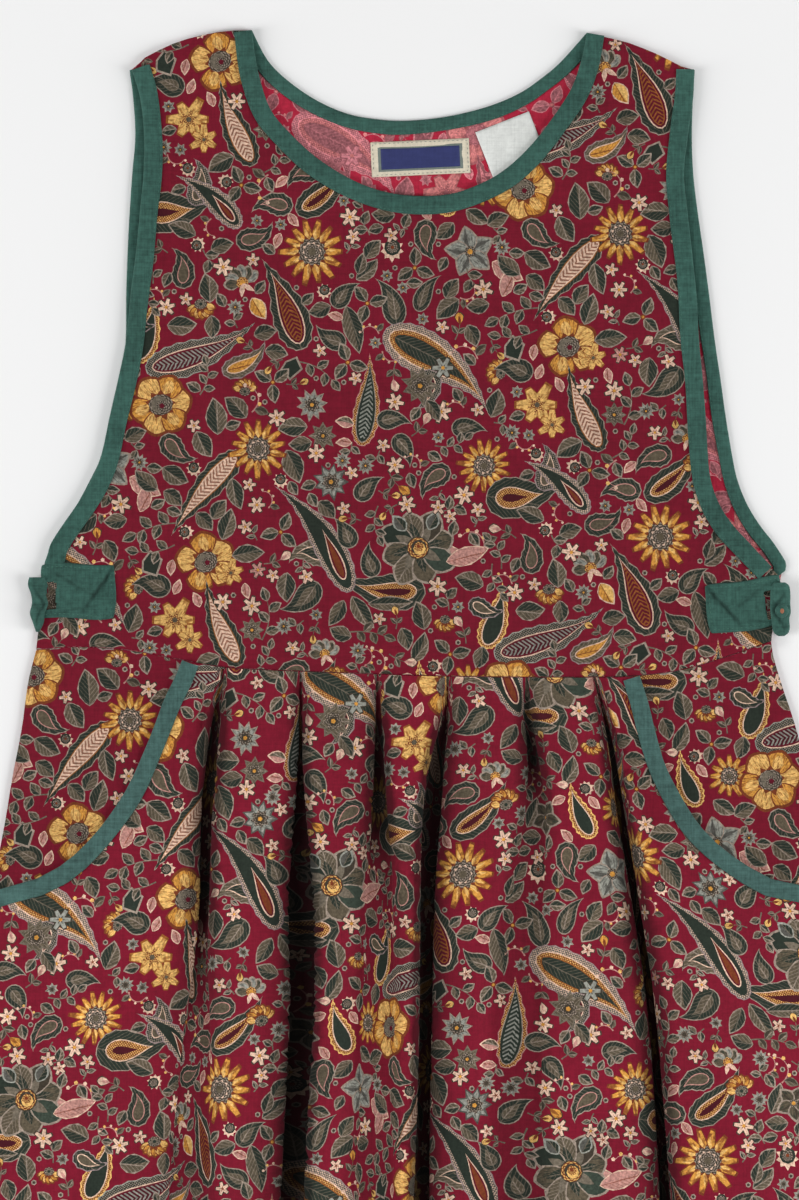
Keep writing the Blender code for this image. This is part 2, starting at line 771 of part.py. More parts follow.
def tab_end(row):
    """The folded end over the tab's outer edge."""
    side, x0, y0, wide, high = row
    sign = -1 if side == "left" else 1
    rows, columns = 12, 6
    base = tab_end_base(x0, y0, high)

    def place(i, j):
        level = j / rows
        inner = table_at(TAB_END_SHAPE, level, 1) * wide
        outer = table_at(TAB_END_SHAPE, level, 2) * wide
        x = x0 + sign * (inner + (outer - inner) * i / columns)
        crown = math.sin(math.pi * i / columns) * (1.2 + 0.8 * math.cos(level * 21))
        return Vector((x * MM, (y0 - level * high) * MM, base + crown * MM))

    return piece(f"tab_end_{side}", laid_grid(columns, rows, place), "green", 1.4 * MM, 1.0, False)


def button():
    """A low cloth-covered button on the right tab end."""
    x, y = BUTTON_PLACE
    z = tab_end_base(*TAB_END_PLACES[1][1:3], TAB_END_PLACES[1][4]) + 3.8 * MM
    bm = bmesh.new()
    bmesh.ops.create_cone(bm, cap_ends=True, segments=20, radius1=BUTTON_WIDE / 2,
                          radius2=BUTTON_WIDE * 0.36, depth=BUTTON_HIGH)
    bmesh.ops.translate(bm, verts=bm.verts, vec=(x * MM, y * MM, z + BUTTON_HIGH / 2))
    return piece("button_right", bm, "green")


def label(name, size, base):
    """A flat label on the inside of the back."""

    def place(i, j):
        spot = turned((i / 4 - 0.5) * size["wide"] * MM, (j / 2 - 0.5) * size["high"] * MM, size["turn"])
        return Vector((spot.x + size["x"] * MM, spot.y + size["y"] * MM, WALL + SEAM))

    return piece(name, laid_grid(4, 2, place), base, LABEL_WALL, 1.0, False)


def main():
    for left_over in list(bpy.data.objects):
        bpy.data.objects.remove(left_over, do_unlink=True)
    bpy.context.scene.collection.children.link(dress)

    back, back_edges = bodice("back_bodice", "back", BACK_NECK, back_height, BACK_WAIST_DROP)
    front, front_edges = bodice("front_bodice", "front", FRONT_NECK, front_height, 0.0)
    for layer, edges, height, width in (("back", back_edges, back_height, BACK_BINDING_WIDTH),
                                        ("front", front_edges, front_height, FRONT_BINDING_WIDTH)):
        binding(f"{layer}_neck_binding", edges["neck"], -1, width, height, WALL)
        binding(f"{layer}_arm_binding_left", edges["left"], -1, width, height, WALL)
        binding(f"{layer}_arm_binding_right", edges["right"], 1, width, height, WALL)

    back_skirt()
    for side in ("left", "right"):
        side_front(side)
    skirt, skirt_edges = front_skirt()
    for side, inward in (("left", 1), ("right", -1)):
        binding(f"pocket_binding_{side}", skirt_edges[side], inward, POCKET_BINDING_WIDTH,
                pocket_height, SKIRT_WALL, "pocket green")

    for row in SIDE_TABS:
        side_tab(row)
    for row in TAB_END_PLACES:
        tab_end(row)
    button()
    label("neck_label", NECK_LABEL, "label")
    label("care_label", CARE_LABEL, "white label")


dress = bpy.data.collections.new("tank dress")
main()
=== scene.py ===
"""A tank dress laid flat: printed cloth panels, bindings, side tabs, labels and stitching on the
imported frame, with a pale floor, soft studio light and a camera straight above.

Metres, +Z up, the neck towards +Y. The tables hold millimetres, as in the part's source; the
print's chart counts in steps of its own.
"""

import math
import random

import bmesh
import bpy
import numpy as np
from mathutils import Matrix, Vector
from mathutils.geometry import delaunay_2d_cdt


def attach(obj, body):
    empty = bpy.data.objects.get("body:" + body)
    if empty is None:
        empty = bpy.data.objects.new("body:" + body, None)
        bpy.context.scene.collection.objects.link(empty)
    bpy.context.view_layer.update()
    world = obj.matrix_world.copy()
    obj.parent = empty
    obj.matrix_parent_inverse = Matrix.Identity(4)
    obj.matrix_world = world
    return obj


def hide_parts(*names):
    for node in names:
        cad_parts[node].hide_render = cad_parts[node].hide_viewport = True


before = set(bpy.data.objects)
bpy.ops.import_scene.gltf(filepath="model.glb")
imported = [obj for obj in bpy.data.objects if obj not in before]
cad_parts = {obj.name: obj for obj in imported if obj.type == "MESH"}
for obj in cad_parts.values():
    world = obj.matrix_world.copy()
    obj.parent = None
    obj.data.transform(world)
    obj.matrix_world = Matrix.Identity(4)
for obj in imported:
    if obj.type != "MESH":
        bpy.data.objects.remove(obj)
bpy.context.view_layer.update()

MM = 0.001
TURN = 2 * math.pi

# Cloth and seams, as in the part
WALL = 1.0 * MM
SKIRT_WALL = 1.2 * MM
SEAM = 0.3 * MM
WAIST_GAP = 0.6 * MM
BACK_WAIST_DROP = 3.0 * MM
FRONT_BINDING_WIDTH = 11.0 * MM
BACK_BINDING_WIDTH = 8.0 * MM
POCKET_BINDING_WIDTH = 10.5 * MM
FRONT_BASE = WALL + SEAM
BINDING_LIFT = 1.6 * MM
LIFT_FLAT = 20.0 * MM
LIFT_REACH = 46.0 * MM
POCKET_BASE = FRONT_BASE + WALL + 1.0 * MM
HEM_Y = -624.6 * MM
FRONT_UNDERARM_TRIM = 0.45
WAIST_Y = 200.0 * MM

# Armhole edges, from the shoulder down to the underarm
ARMHOLES = (
    # y, back left, front left, front right, back right
    (598.5, -184.6, -183.0, 185.6, 186.1),
    (580.0, -182.2, -177.6, 184.9, 184.9),
    (555.0, -180.8, -174.9, 181.5, 184.2),
    (530.0, -182.8, -175.3, 178.9, 185.1),
    (505.0, -184.5, -177.7, 181.2, 188.0),
    (480.0, -185.8, -180.0, 184.0, 191.6),
    (450.0, -186.8, -183.8, 187.1, 195.6),
    (420.0, -187.2, -186.8, 188.8, 199.3),
    (395.0, -190.5, -191.8, 191.2, 203.0),
    (370.0, -196.3, -197.5, 193.1, 206.5),
    (345.0, -202.6, -202.9, 194.6, 210.6),
    (328.0, -210.5, -209.5, 196.5, 214.2),
    (312.0, -219.0, -218.8, 202.0, 220.5),
    (298.0, -227.4, -228.5, 211.0, 228.9),
    (286.0, -235.6, -236.2, 222.0, 238.2),
    (274.0, -240.4, -240.0, 233.0, 246.0),
)

# Side seams, from the underarm down to the hem
SIDE_SEAMS = (
    # y, left, right
    (262.0, -242.0, 243.6),
    (240.0, -244.4, 239.6),
    (219.0, -247.4, 237.6),
    (196.0, -252.8, 243.5),
    (166.0, -256.4, 253.4),
    (133.0, -262.7, 261.5),
    (100.0, -268.2, 269.0),
    (51.5, -278.0, 279.5),
    (-48.0, -299.4, 301.0),
    (-180.0, -326.0, 328.6),
    (-378.0, -367.0, 368.6),
    (-624.6, -416.5, 416.5),
)

WAIST = (
    # x, y
    (-247.4, 215.8), (-221.1, 218.0), (-186.8, 215.8), (-157.1, 210.5), (-124.1, 204.6),
    (-72.6, 201.9), (-22.4, 200.0), (23.8, 198.6), (76.6, 198.0), (120.1, 198.0),
    (145.9, 198.6), (177.5, 202.6), (207.2, 211.2), (238.0, 221.7),
)

FRONT_NECK = (
    # x, y
    (-106.0, 624.3), (-103.6, 606.5), (-100.3, 590.7), (-93.1, 570.9), (-79.2, 554.4),
    (-61.4, 538.5), (-38.9, 524.7), (-17.2, 516.8), (4.6, 514.1), (25.7, 515.4),
    (44.2, 521.4), (62.0, 531.3), (79.9, 547.8), (95.7, 568.2), (106.9, 586.1),
    (113.5, 605.2), (116.8, 622.4),
)

BACK_NECK = (
    # x, y
    (-106.0, 624.3), (-93.1, 601.2), (-69.3, 581.4), (-44.2, 569.2), (-20.5, 564.6),
    (0.0, 564.0), (25.7, 567.0), (51.5, 573.5), (71.9, 582.1), (86.5, 592.0),
    (99.7, 603.2), (116.8, 622.4),
)

LEFT_SHOULDER = (
    # x, y
    (-184.6, 601.0), (-169.0, 609.8), (-153.1, 617.1), (-136.0, 621.6), (-120.8, 624.0),
    (-106.0, 624.3),
)

RIGHT_SHOULDER = (
    # x, y
    (116.8, 622.4), (128.7, 619.7), (144.5, 615.8), (161.0, 609.2), (176.9, 601.2),
    (186.1, 596.0),
)

LEFT_POCKET = (
    # x, y
    (-147.2, 207.9), (-153.8, 189.4), (-161.7, 172.9), (-168.3, 156.4), (-176.2, 139.9),
    (-186.1, 122.1), (-198.7, 104.9), (-211.9, 89.1), (-227.7, 74.6), (-244.9, 64.7),
    (-263.3, 58.7), (-277.4, 55.5),
)

RIGHT_POCKET = (
    # x, y
    (149.8, 199.0), (155.1, 182.8), (159.7, 163.0), (166.3, 139.9), (176.2, 120.1),
    (189.4, 99.6), (205.3, 83.8), (227.0, 69.3), (250.1, 59.5), (278.6, 55.5),
)

SIDE_FRONT_LAP = 18.0 * MM
MOUTH_FLAT = 16.0 * MM
MOUTH_RISE = 26.0 * MM
SIDE_FRONT_END = 40.0

# Each pleat opens below the waist seam: its middle, how wide it gapes, how high its lips stand,
# how deep it goes and how far it reaches in under the lips
PLEATS = {
    # y, x, gap, rise, depth, reach
    "first": (
        (200, -123.5, 1.9, 1.4, 1, 0),
        (176, -127, 4, 4, 3.4, 0.6),
        (143, -131, 6.6, 8, 7.4, 1.6),
        (107, -134.5, 7, 10, 9.4, 2.2),
        (55, -136, 6.4, 10, 9, 2),
        (20, -138, 8, 8, 5.6, 0.8),
        (-55, -142, 20, 6, 3, 0),
        (-225, -152, 30, 6, 4, 0),
        (-624.5, -187, 44, 8, 6.4, 0),
    ),
    "second": (
        (200, -72.6, 1.8, 1.4, 1, 0),
        (176, -72.6, 2.2, 4, 3.4, 0.4),
        (143, -72.8, 2.6, 7, 6.4, 1.2),
        (107, -72.8, 7, 11, 10.4, 3),
        (55, -72.6, 15, 15, 14.4, 4.6),
        (-15, -71.6, 15.4, 17, 16.4, 5),
        (-100, -76, 14.6, 17, 16.4, 5),
        (-225, -82, 17, 16, 15, 4),
        (-624.5, -106, 36, 12, 10.6, 0),
    ),
    "third": (
        (200, -22.4, 1.8, 1.4, 1, 0),
        (176, -21.4, 3.6, 4, 3.4, 0.6),
        (143, -21, 6, 8, 7.2, 1.6),
        (107, -20.6, 10, 9, 7.2, 1.2),
        (66, -20.4, 16, 8, 4, 0),
        (-55, -22, 22, 8, 2.2, 0),
        (-225, -26, 26, 9, 3.4, 0),
        (-624.5, -36, 40, 9, 6.4, 0),
    ),
    "fourth": (
        (200, 24, 1.8, 1.4, 1, 0),
        (176, 23, 3, 4, 3.4, 0.6),
        (143, 17.4, 9, 9, 8.4, 2.4),
        (107, 13.6, 11.6, 12, 11.4, 3.4),
        (55, 11, 9, 13, 12.4, 3.4),
        (-15, 9.8, 8, 13, 12.2, 3),
        (-100, 8, 8.4, 13, 12, 2.6),
        (-225, 5, 14, 12, 10.6, 1.4),
        (-624.5, -4, 34, 11, 8.6, 0),
    ),
    "fifth": (
        (200, 76.6, 1.8, 1.4, 1, 0),
        (176, 77, 4.4, 4, 3.4, 0.6),
        (143, 80.6, 7, 7, 5.6, 1),
        (107, 82, 14, 7.4, 3.4, 0),
        (20, 74, 24, 8, 2.6, 0),
        (-150, 72, 30, 9, 3.4, 0),
        (-624.5, 80, 44, 9, 6.6, 0),
    ),
    "sixth": (
        (200, 121, 1.8, 1.4, 1, 0),
        (176, 127.4, 2.4, 4, 3.4, 0.4),
        (143, 133.4, 3.6, 7, 6.4, 1.4),
        (107, 138.4, 4.6, 9, 8.4, 2.2),
        (55, 147, 4.6, 11, 10.4, 2.6),
        (-15, 157.6, 4.8, 12, 11.4, 2.8),
        (-100, 164.6, 6, 12, 11.2, 2.6),
        (-225, 172, 10, 11, 9.4, 1),
        (-624.5, 200, 34, 10, 7.8, 0),
    ),
}

# Broad soft swells of the front bodice
BODICE_SWELLS = (
    # x, y, length, width, turn in degrees, height
    (-40, 455, 150, 40, 18, 0.9),
    (95, 420, 130, 36, -24, 0.9),
    (-120, 330, 120, 34, 40, 0.8),
    (40, 300, 160, 40, 6, 0.8),
    (150, 290, 90, 28, -38, 0.7),
)

# Broad soft ridges of the front skirt between and beside the pleats
SKIRT_RIDGES = (
    # x above, y above, x below, y below, width, height
    (-205, 60, -240, -624, 26, 4),
    (-168, 20, -196, -624, 18, 3),
    (-48, 140, -64, -624, 20, 2.6),
    (48, 120, 40, -624, 22, 2.4),
    (110, 90, 128, -624, 20, 2.4),
    (196, 40, 262, -624, 26, 4),
    (240, 10, 340, -624, 28, 3.4),
)

# Side tabs: the corner nearest the middle and neck, then the size, the turn and the slot's shares
SIDE_TABS = (
    # side, x, y, wide, high, turn in degrees, slot from, slot to, slot top, slot bottom
    ("left", -194.8, 272.4, 48.6, 36.2, 0.6, 0.80, 0.93, 0.34, 0.83),
    ("right", 192.7, 258.0, 50.0, 33.0, 8.5, 0.775, 0.92, 0.28, 0.86),
)
TAB_END_PLACES = (
    # side, inner edge x, top y, wide, high
    ("left", -239.2, 263.8, 13.2, 36.0),
    ("right", 236.6, 260.4, 13.6, 35.4),
)
TAB_END_SHAPE = (
    # along, left edge, right edge
    (0.00, 0.16, 0.94),
    (0.14, 0.02, 1.00),
    (0.32, 0.10, 0.84),
    (0.48, 0.00, 0.80),
    (0.66, 0.16, 0.90),
    (0.84, 0.22, 0.74),
    (1.00, 0.44, 0.60),
)
BUTTON_PLACE = (244.0, 241.6)
BUTTON_WIDE = 9.0 * MM
BUTTON_HIGH = 2.6 * MM
BUTTON_LIFT = 3.8 * MM

NECK_LABEL = {"x": 6.2, "y": 540.6, "wide": 65.0, "high": 23.0, "turn": 2.6}
CARE_LABEL = {"x": 66.3, "y": 548.4, "wide": 38.0, "high": 34.0, "turn": 21.5}


def points(rows):
    """The rows of an outline as points in metres."""
    return [Vector((x * MM, y * MM)) for x, y in rows]


def curve_point(p0, p1, p2, p3, t):
    """A point of a Catmull-Rom curve between p1 and p2."""
    return 0.5 * (2 * p1 + (p2 - p0) * t + (2 * p0 - 5 * p1 + 4 * p2 - p3) * t * t
                  + (3 * p1 - p0 - 3 * p2 + p3) * t ** 3)


# Steps of a smooth line between two of its points
SMOOTH_STEPS = 4


def rounded(knots, steps=SMOOTH_STEPS):
    """A smooth line through some points."""
    path = []
    for i in range(len(knots) - 1):
        before, after = knots[max(i - 1, 0)], knots[min(i + 2, len(knots) - 1)]
        path += [curve_point(before, knots[i], knots[i + 1], after, step / steps) for step in range(steps)]
    return path + [knots[-1]]


def spaced(path, count):
    """count points at even distances along a path."""
    along = [0.0]
    for a, b in zip(path, path[1:]):
        along.append(along[-1] + (b - a).length)
    result = []
    k = 0
    for i in range(count):
        want = along[-1] * i / (count - 1)
        while k < len(path) - 2 and along[k + 1] < want:
            k += 1
        share = (want - along[k]) / max(along[k + 1] - along[k], 1e-9)
        result.append(path[k].lerp(path[k + 1], min(share, 1.0)))
    return result


def smooth_path(rows, count):
    """Points spaced evenly along a smooth curve through the rows."""
    return spaced(rounded(points(rows), 8), count)


def table_at(rows, at, column, across=0):
    """A column's value where the across column reads at, by a smooth curve through the rows."""
    ordered = sorted(rows, key=lambda row: row[across])
    if at <= ordered[0][across]:
        return ordered[0][column]
    if at >= ordered[-1][across]:
        return ordered[-1][column]
    i = max(k for k in range(len(ordered) - 1) if ordered[k][across] <= at)
    low, high = ordered[i], ordered[i + 1]
    span = high[across] - low[across]
    t = (at - low[across]) / span
    ends = []
    for k in (i, i + 1):
        near = ordered[max(k - 1, 0)], ordered[min(k + 1, len(ordered) - 1)]
        slope = (near[1][column] - near[0][column]) / (near[1][across] - near[0][across])
        ends.append(slope * span)
    return ((2 * t ** 3 - 3 * t * t + 1) * low[column] + (t ** 3 - 2 * t * t + t) * ends[0]
            + (3 * t * t - 2 * t ** 3) * high[column] + (t ** 3 - t * t) * ends[1])


def waist_y(x):
    """The waist seam's Y at x, in metres."""
    return table_at(WAIST, x / MM, 1) * MM


ARM_COLUMNS = {("left", "back"): 1, ("left", "front"): 2, ("right", "front"): 3, ("right", "back"): 4}


def armhole(side, layer):
    """The X and Y of an armhole edge from the underarm up to the shoulder."""
    return [(row[ARM_COLUMNS[side, layer]], row[0]) for row in reversed(ARMHOLES)]


def side_x(y, side, layer):
    """The outer edge of the bodice or skirt at y: the armhole above the underarm, else the seam."""
    arm = [(height, x) for x, height in armhole(side, layer)]
    seam = [(row[0], row[1 if side == "left" else 2]) for row in SIDE_SEAMS]
    return table_at(seam + arm, y / MM, 1) * MM


def distance_to(point, path):
    """The shortest distance from a point to a path."""
    best = 1.0
    for a, b in zip(path, path[1:]):
        along = b - a
        share = (point - a).dot(along) / max(along.length_squared, 1e-12)
        best = min(best, (point - a - along * min(max(share, 0.0), 1.0)).length)
    return best


def soft(value):
    """0 to 1 with a soft start and end."""
    value = np.clip(value, 0, 1)
    return value * value * (3 - 2 * value)


# The bindings that lift the front bodice off the back
RAISERS = [points(rows)
           for rows in (BACK_NECK, FRONT_NECK, armhole("left", "back"), armhole("right", "back"))]


def pocket_x(side, y):
    """The pocket mouth's X at y, in metres, or the side seam's below the pocket."""
    rows = LEFT_POCKET if side == "left" else RIGHT_POCKET
    if y / MM < rows[-1][1]:
        return side_x(y, side, "front")
    return table_at(rows, y / MM, 0, across=1) * MM


def ridges(x, y):
    """The soft ridges of the skirt front."""
    total = 0.0
    for x0, y0, x1, y1, width, height in SKIRT_RIDGES:
        if y / MM > y0:
            continue
        level = (y0 - y / MM) / (y0 - y1)
        middle = x0 + (x1 - x0) * level
        away = (x / MM - middle) / width
        total += height * MM * math.exp(-away * away) * soft((y0 - y / MM) / 60)
    return total


def beside_mouth(x, y, edge_low, z):
    """Keeps the skirt front low and flat within a binding's width of a pocket mouth."""
    here = Vector((x, y))
    near = min(distance_to(here, points(LEFT_POCKET)), distance_to(here, points(RIGHT_POCKET)))
    return edge_low + (z - edge_low) * soft((near - MOUTH_FLAT) / MOUTH_RISE)


def skirt_section(y):
    """The front skirt's section at y: X and Z of its middle surface, side to side."""
    left, right = pocket_x("left", y), pocket_x("right", y)
    low = FRONT_BASE + SKIRT_WALL / 2
    over_pocket = soft((y / MM - 2) / 24)
    edge_low = low + (POCKET_BASE - FRONT_BASE) * over_pocket
    folds = []
    for rows in PLEATS.values():
        folds.append([table_at(rows, y / MM, column) * MM for column in range(1, 6)])
    section = [(left, edge_low), (left + 0.014, edge_low), (left + 0.027, edge_low)]
    first = folds[0]
    start, stop = left + 0.027, first[0] - first[1] / 2 - 0.004
    for share in (0.33, 0.66):
        x = start + (stop - start) * share
        z = edge_low + (low + first[2] - edge_low) * soft(share) + ridges(x, y)
        section.append((x, beside_mouth(x, y, edge_low, z)))
    for k, (middle, gap, rise, depth, reach) in enumerate(folds):
        lip = low + max(rise, 0.0)
        floor = low + max(rise - depth, 0.0)
        half = gap / 2
        turn = min(0.004, 0.5 * (rise + 0.003))
        section += [
            (middle - half - turn, lip),
            (middle - half, lip - 0.16 * depth),
            (middle - half - reach, lip - 0.62 * depth),
            (middle - half * 0.55, floor),
            (middle + half * 0.55, floor),
            (middle + half + reach, lip - 0.62 * depth),
            (middle + half, lip - 0.16 * depth),
            (middle + half + turn, lip),
        ]
        if k + 1 < len(folds):
            after = folds[k + 1]
            start = middle + half + turn
            stop = after[0] - after[1] / 2 - min(0.004, 0.5 * (after[2] + 0.003))
            for share in (0.3, 0.7):
                x = start + (stop - start) * share
                z = low + rise + (after[2] - rise) * share
                section.append((x, z + ridges(x, y)))
    last = folds[-1]
    start, stop = last[0] + last[1] / 2 + 0.004, right - 0.027
    for share in (0.33, 0.66):
        x = start + (stop - start) * share
        z = edge_low + (low + last[2] - edge_low) * soft(1 - share) + ridges(x, y)
        section.append((x, beside_mouth(x, y, edge_low, z)))
    section += [(right - 0.027, edge_low), (right - 0.014, edge_low), (right, edge_low)]
    return section


def turned(x, y, degrees):
    """A point turned about the origin."""
    angle = math.radians(degrees)
    return Vector((x * math.cos(angle) - y * math.sin(angle), x * math.sin(angle) + y * math.cos(angle)))


def tab_end_base(row):
    """The height of a folded tab end's underside: on the highest part of the tab beneath it."""
    _, x0, y0, _, high = row
    y = (y0 - high * np.array((0, 0.2, 0.4, 0.6, 0.8, 1))) * MM
    return front_heights(np.full(len(y), x0 * MM), y).max() + 2 * WALL + 3 * SEAM


# The print's plain inks, as sRGB
INKS = {
    "ground": (124, 20, 42),
    "burgundy": (98, 18, 36),
    "deep": (74, 20, 30),
    "gold_light": (232, 184, 108),
    "gold": (210, 148, 66),
    "gold_dark": (150, 90, 40),
    "rust": (120, 58, 32),
    "cream": (226, 190, 166),
    "pink": (190, 138, 128),
    "olive": (94, 84, 68),
    "olive_dark": (66, 58, 48),
    "green_dark": (42, 50, 42),
    "green": (58, 68, 58),
    "green_grey": (114, 104, 90),
    "rim": (158, 142, 128),
    "grey_blue": (152, 152, 142),
    "grey_dark": (88, 86, 80),
    "lilac": (154, 134, 132),
}
# The strokes that may be drawn inside a shape
PATTERNS = ("plain", "veins", "streaks", "chevrons", "beads", "seeds", "rays")
# Inks with strokes of another ink over them
DRAWN_INKS = {
    # name: ground ink, ink of the strokes, pattern
    "leaf": ("olive", "rim", "veins"),
    "leaf_dark": ("green_dark", "green_grey", "veins"),
    "leaf_pale": ("pink", "rust", "veins"),
    "leaf_gold": ("gold", "rust", "veins"),
    "petal": ("gold", "rust", "streaks"),
    "petal_light": ("gold_light", "gold_dark", "streaks"),
    "petal_grey": ("grey_blue", "grey_dark", "streaks"),
    "petal_dark": ("olive", "green_dark", "streaks"),
    "petal_cream": ("cream", "pink", "streaks"),
    "ray": ("gold", "rust", "rays"),
    "ray_light": ("gold_light", "gold_dark", "rays"),
    "ray_grey": ("grey_blue", "grey_dark", "rays"),
    "seed": ("olive_dark", "rim", "seeds"),
    "seed_gold": ("rust", "gold_light", "seeds"),
    "lace": ("grey_dark", "cream", "beads"),
    "lace_dark": ("green_dark", "rim", "beads"),
    "lace_gold": ("rust", "gold_light", "beads"),
    "zigzag": ("cream", "rust", "chevrons"),
    "zigzag_red": ("burgundy", "gold_dark", "chevrons"),
    "zigzag_grey": ("deep", "grey_blue", "chevrons"),
    "zigzag_dark": ("green_dark", "grey_blue", "chevrons"),
}

# The chart: how far one step is on the cloth, in millimetres, and the step that lies at X 0 and this Y
CHART_STEP = 0.66
CHART_ZERO = (411.0, 30.0)
CHART_ZERO_Y = 625.0
# The two steps by which the design repeats
REPEAT_ACROSS = (362.0, -215.0)
REPEAT_DOWN = (-14.0, 500.0)


class Stem:
    """A line that bends more and more towards its tip, on which a leaf or a teardrop is drawn."""

    def __init__(self, length, curl, power=2.0, steps=32):
        t = np.linspace(0, 1, steps + 1)
        heading = curl * t ** power
        middle = (heading[1:] + heading[:-1]) / 2
        self.length = length
        self.t = t
        self.x = np.concatenate(([0.0], np.cumsum(np.cos(middle)))) * length / steps
        self.y = np.concatenate(([0.0], np.cumsum(np.sin(middle)))) * length / steps
        self.heading = heading

    def at(self, t, out=0.0):
        """Points at shares t of the stem, moved out to its left."""
        x, y = np.interp(t, self.t, self.x), np.interp(t, self.t, self.y)
        turn = np.interp(t, self.t, self.heading)
        spots = np.column_stack((x - out * np.sin(turn), y + out * np.cos(turn)))
        return spots if np.ndim(t) else spots[0]


def drop(s):
    """A teardrop's half width along its stem: round at the start, drawn out to the tip."""
    head = np.sqrt(np.maximum(1 - ((0.3 - s) / 0.3) ** 2, 0))
    tail = (0.5 + 0.5 * np.cos(np.pi * (s - 0.3) / 0.7)) ** 0.8
    return np.where(s < 0.3, head, tail)


def blade(s):
    """A leaf's half width along its stem."""
    return np.maximum(np.sin(np.pi * s ** 0.85), 0) ** 0.9


def petal(s):
    """A broad petal's half width: narrow at the start, full near the end."""
    return np.maximum(np.sin(np.pi * s ** 1.5), 0) ** 0.7


def shape(stem, profile, half, inset=0.0, frills=0, deep=0.0, steps=9, sides=2):
    """The outline about a stem, drawn in by inset, with a frilled edge if asked, or its left side only."""
    if frills:
        steps = 2 * frills + 1
    even = np.linspace(0, 1, steps)
    s = 0.5 - 0.5 * np.cos(np.pi * even)
    low, high = inset / stem.length, 1 - 2.2 * inset / stem.length
    wide = (half - inset) * profile(s)
    if frills:
        wide = wide + deep * (np.arange(steps) % 2) * np.minimum(1, 6 * (1 - s))
    t = low + (high - low) * s
    left, right = stem.at(t, wide), stem.at(t, -wide if sides == 2 else 0.0 * wide)
    return np.vstack((right, left[-2:0:-1]))


def disc(radius, x=0.0, y=0.0, count=8, squash=1.0):
    """A round spot."""
    angle = np.arange(count) * TURN / count
    return np.column_stack((x + radius * np.cos(angle), y + squash * radius * np.sin(angle)))


def bloom(petals, inner, outer, sharp=1.0, turn=0.0, uneven=0.08, seed=3):
    """A flower's outline, its petals pointed (sharp 1) or round (sharp 0)."""
    draw = random.Random(seed)
    rows = []
    corners = ((-0.5, 0.0), (0.0, 1.0))
    if sharp < 0.7:
        corners = ((-0.5, 0.0), (-0.16, 1 - 0.1 * sharp), (0.16, 1.0))
    for k in range(petals):
        size = 1 + draw.uniform(-uneven, uneven)
        for share, reach in corners:
            angle = turn + (k + share) * TURN / petals
            radius = inner + (outer * size - inner) * reach
            rows.append((radius * math.cos(angle), radius * math.sin(angle)))
    return np.array(rows)


def moved(outline, x=0.0, y=0.0, turn=0.0, size=1.0, flip=False):
    """An outline turned, sized and put in its place."""
    result = outline * size * ((1, -1) if flip else (1, 1))
    cos, sin = math.cos(turn), math.sin(turn)
    return np.column_stack((x + result[:, 0] * cos - result[:, 1] * sin,
                            y + result[:, 0] * sin + result[:, 1] * cos))


# A drawing's own zero and the ends of its axes, along which the strokes inside its shapes run
OWN_AXES = np.array([(0.0, 0.0), (1.0, 0.0), (0.0, 1.0)])


def put(drawing, **where):
    """A whole drawing, a list of inks and outlines, in its place; each keeps the axes it was drawn on."""
    return [(item[0], moved(item[1], **where), moved(item[2] if len(item) > 2 else OWN_AXES, **where))
            for item in drawing]


def line(path, width):
    """A thin line that tapers to its end."""
    path = np.asarray(path, float)
    run = np.gradient(path, axis=0)
    run /= np.maximum(np.hypot(run[:, 0], run[:, 1])[:, None], 1e-9)
    side = np.column_stack((-run[:, 1], run[:, 0]))
    half = (width / 2 * np.linspace(1, 0.35, len(path)))[:, None]
    return np.vstack((path - side * half, (path + side * half)[::-1]))


def leaf(length=14.0, half=4.0, curl=0.3, inks=("rim", "leaf", "leaf_dark"), rim=0.55):
    """A leaf with a pale rim and veins, one half darker than the other."""
    stem = Stem(length, curl, 1.0)
    return [(inks[0], shape(stem, blade, half, steps=7)), (inks[1], shape(stem, blade, half, rim, steps=6)),
            (inks[2], shape(stem, blade, half, rim, steps=6, sides=1))]


PALE_LEAF = ("cream", "leaf_pale", "pink")
GOLD_LEAF = ("cream", "leaf_gold", "gold_light")
DULL_LEAF = ("green_grey", "leaf", "olive_dark")


def sunflower(radius, petals=14):
    """A gold flower with pointed petals, shaded to rust, and a dark seeded middle."""
    return [("rust", bloom(petals, radius * 0.66, radius * 1.03, 0.6)),
            ("ray", bloom(petals, radius * 0.54, radius * 0.96, 0.6)),
            ("ray_light", bloom(petals, radius * 0.42, radius * 0.78, turn=0.06)),
            ("rust", bloom(petals, radius * 0.38, radius * 0.56, turn=0.2)),
            ("seed", bloom(12, radius * 0.38, radius * 0.47, 0.8)),
            ("cream", bloom(10, radius * 0.24, radius * 0.32, 0.8, 0.1)),
            ("seed", disc(radius * 0.26, count=9)), ("olive", disc(radius * 0.13, count=6))]


def gold_flower(radius, petals=6):
    """A gold flower with broad petals round a grey-green eye."""
    drawing = []
    for k in range(petals):
        angle = k * TURN / petals + 0.12 * math.sin(5 * k)
        stem = Stem(radius * 0.92, 0.15, 1.0, 8)
        drawing += put([("rust", shape(stem, petal, radius * 0.43, frills=4, deep=0.5)),
                        ("petal" if k % 2 else "petal_light",
                         shape(stem, petal, radius * 0.41, 0.9, frills=4, deep=0.5)),
                        ("petal_light", shape(stem, petal, radius * 0.26, 1.8, steps=6))],
                       x=radius * 0.08 * math.cos(angle), y=radius * 0.08 * math.sin(angle), turn=angle)
    return drawing + [("rust", bloom(9, radius * 0.34, radius * 0.48)),
                      ("seed", disc(radius * 0.38, count=11, squash=0.86)),
                      ("green_grey", disc(radius * 0.26, -radius * 0.04, radius * 0.02, 9)),
                      ("seed", disc(radius * 0.18, radius * 0.03, -radius * 0.04, 7)),
                      ("burgundy", disc(radius * 0.09, radius * 0.03, -radius * 0.04, 5))]


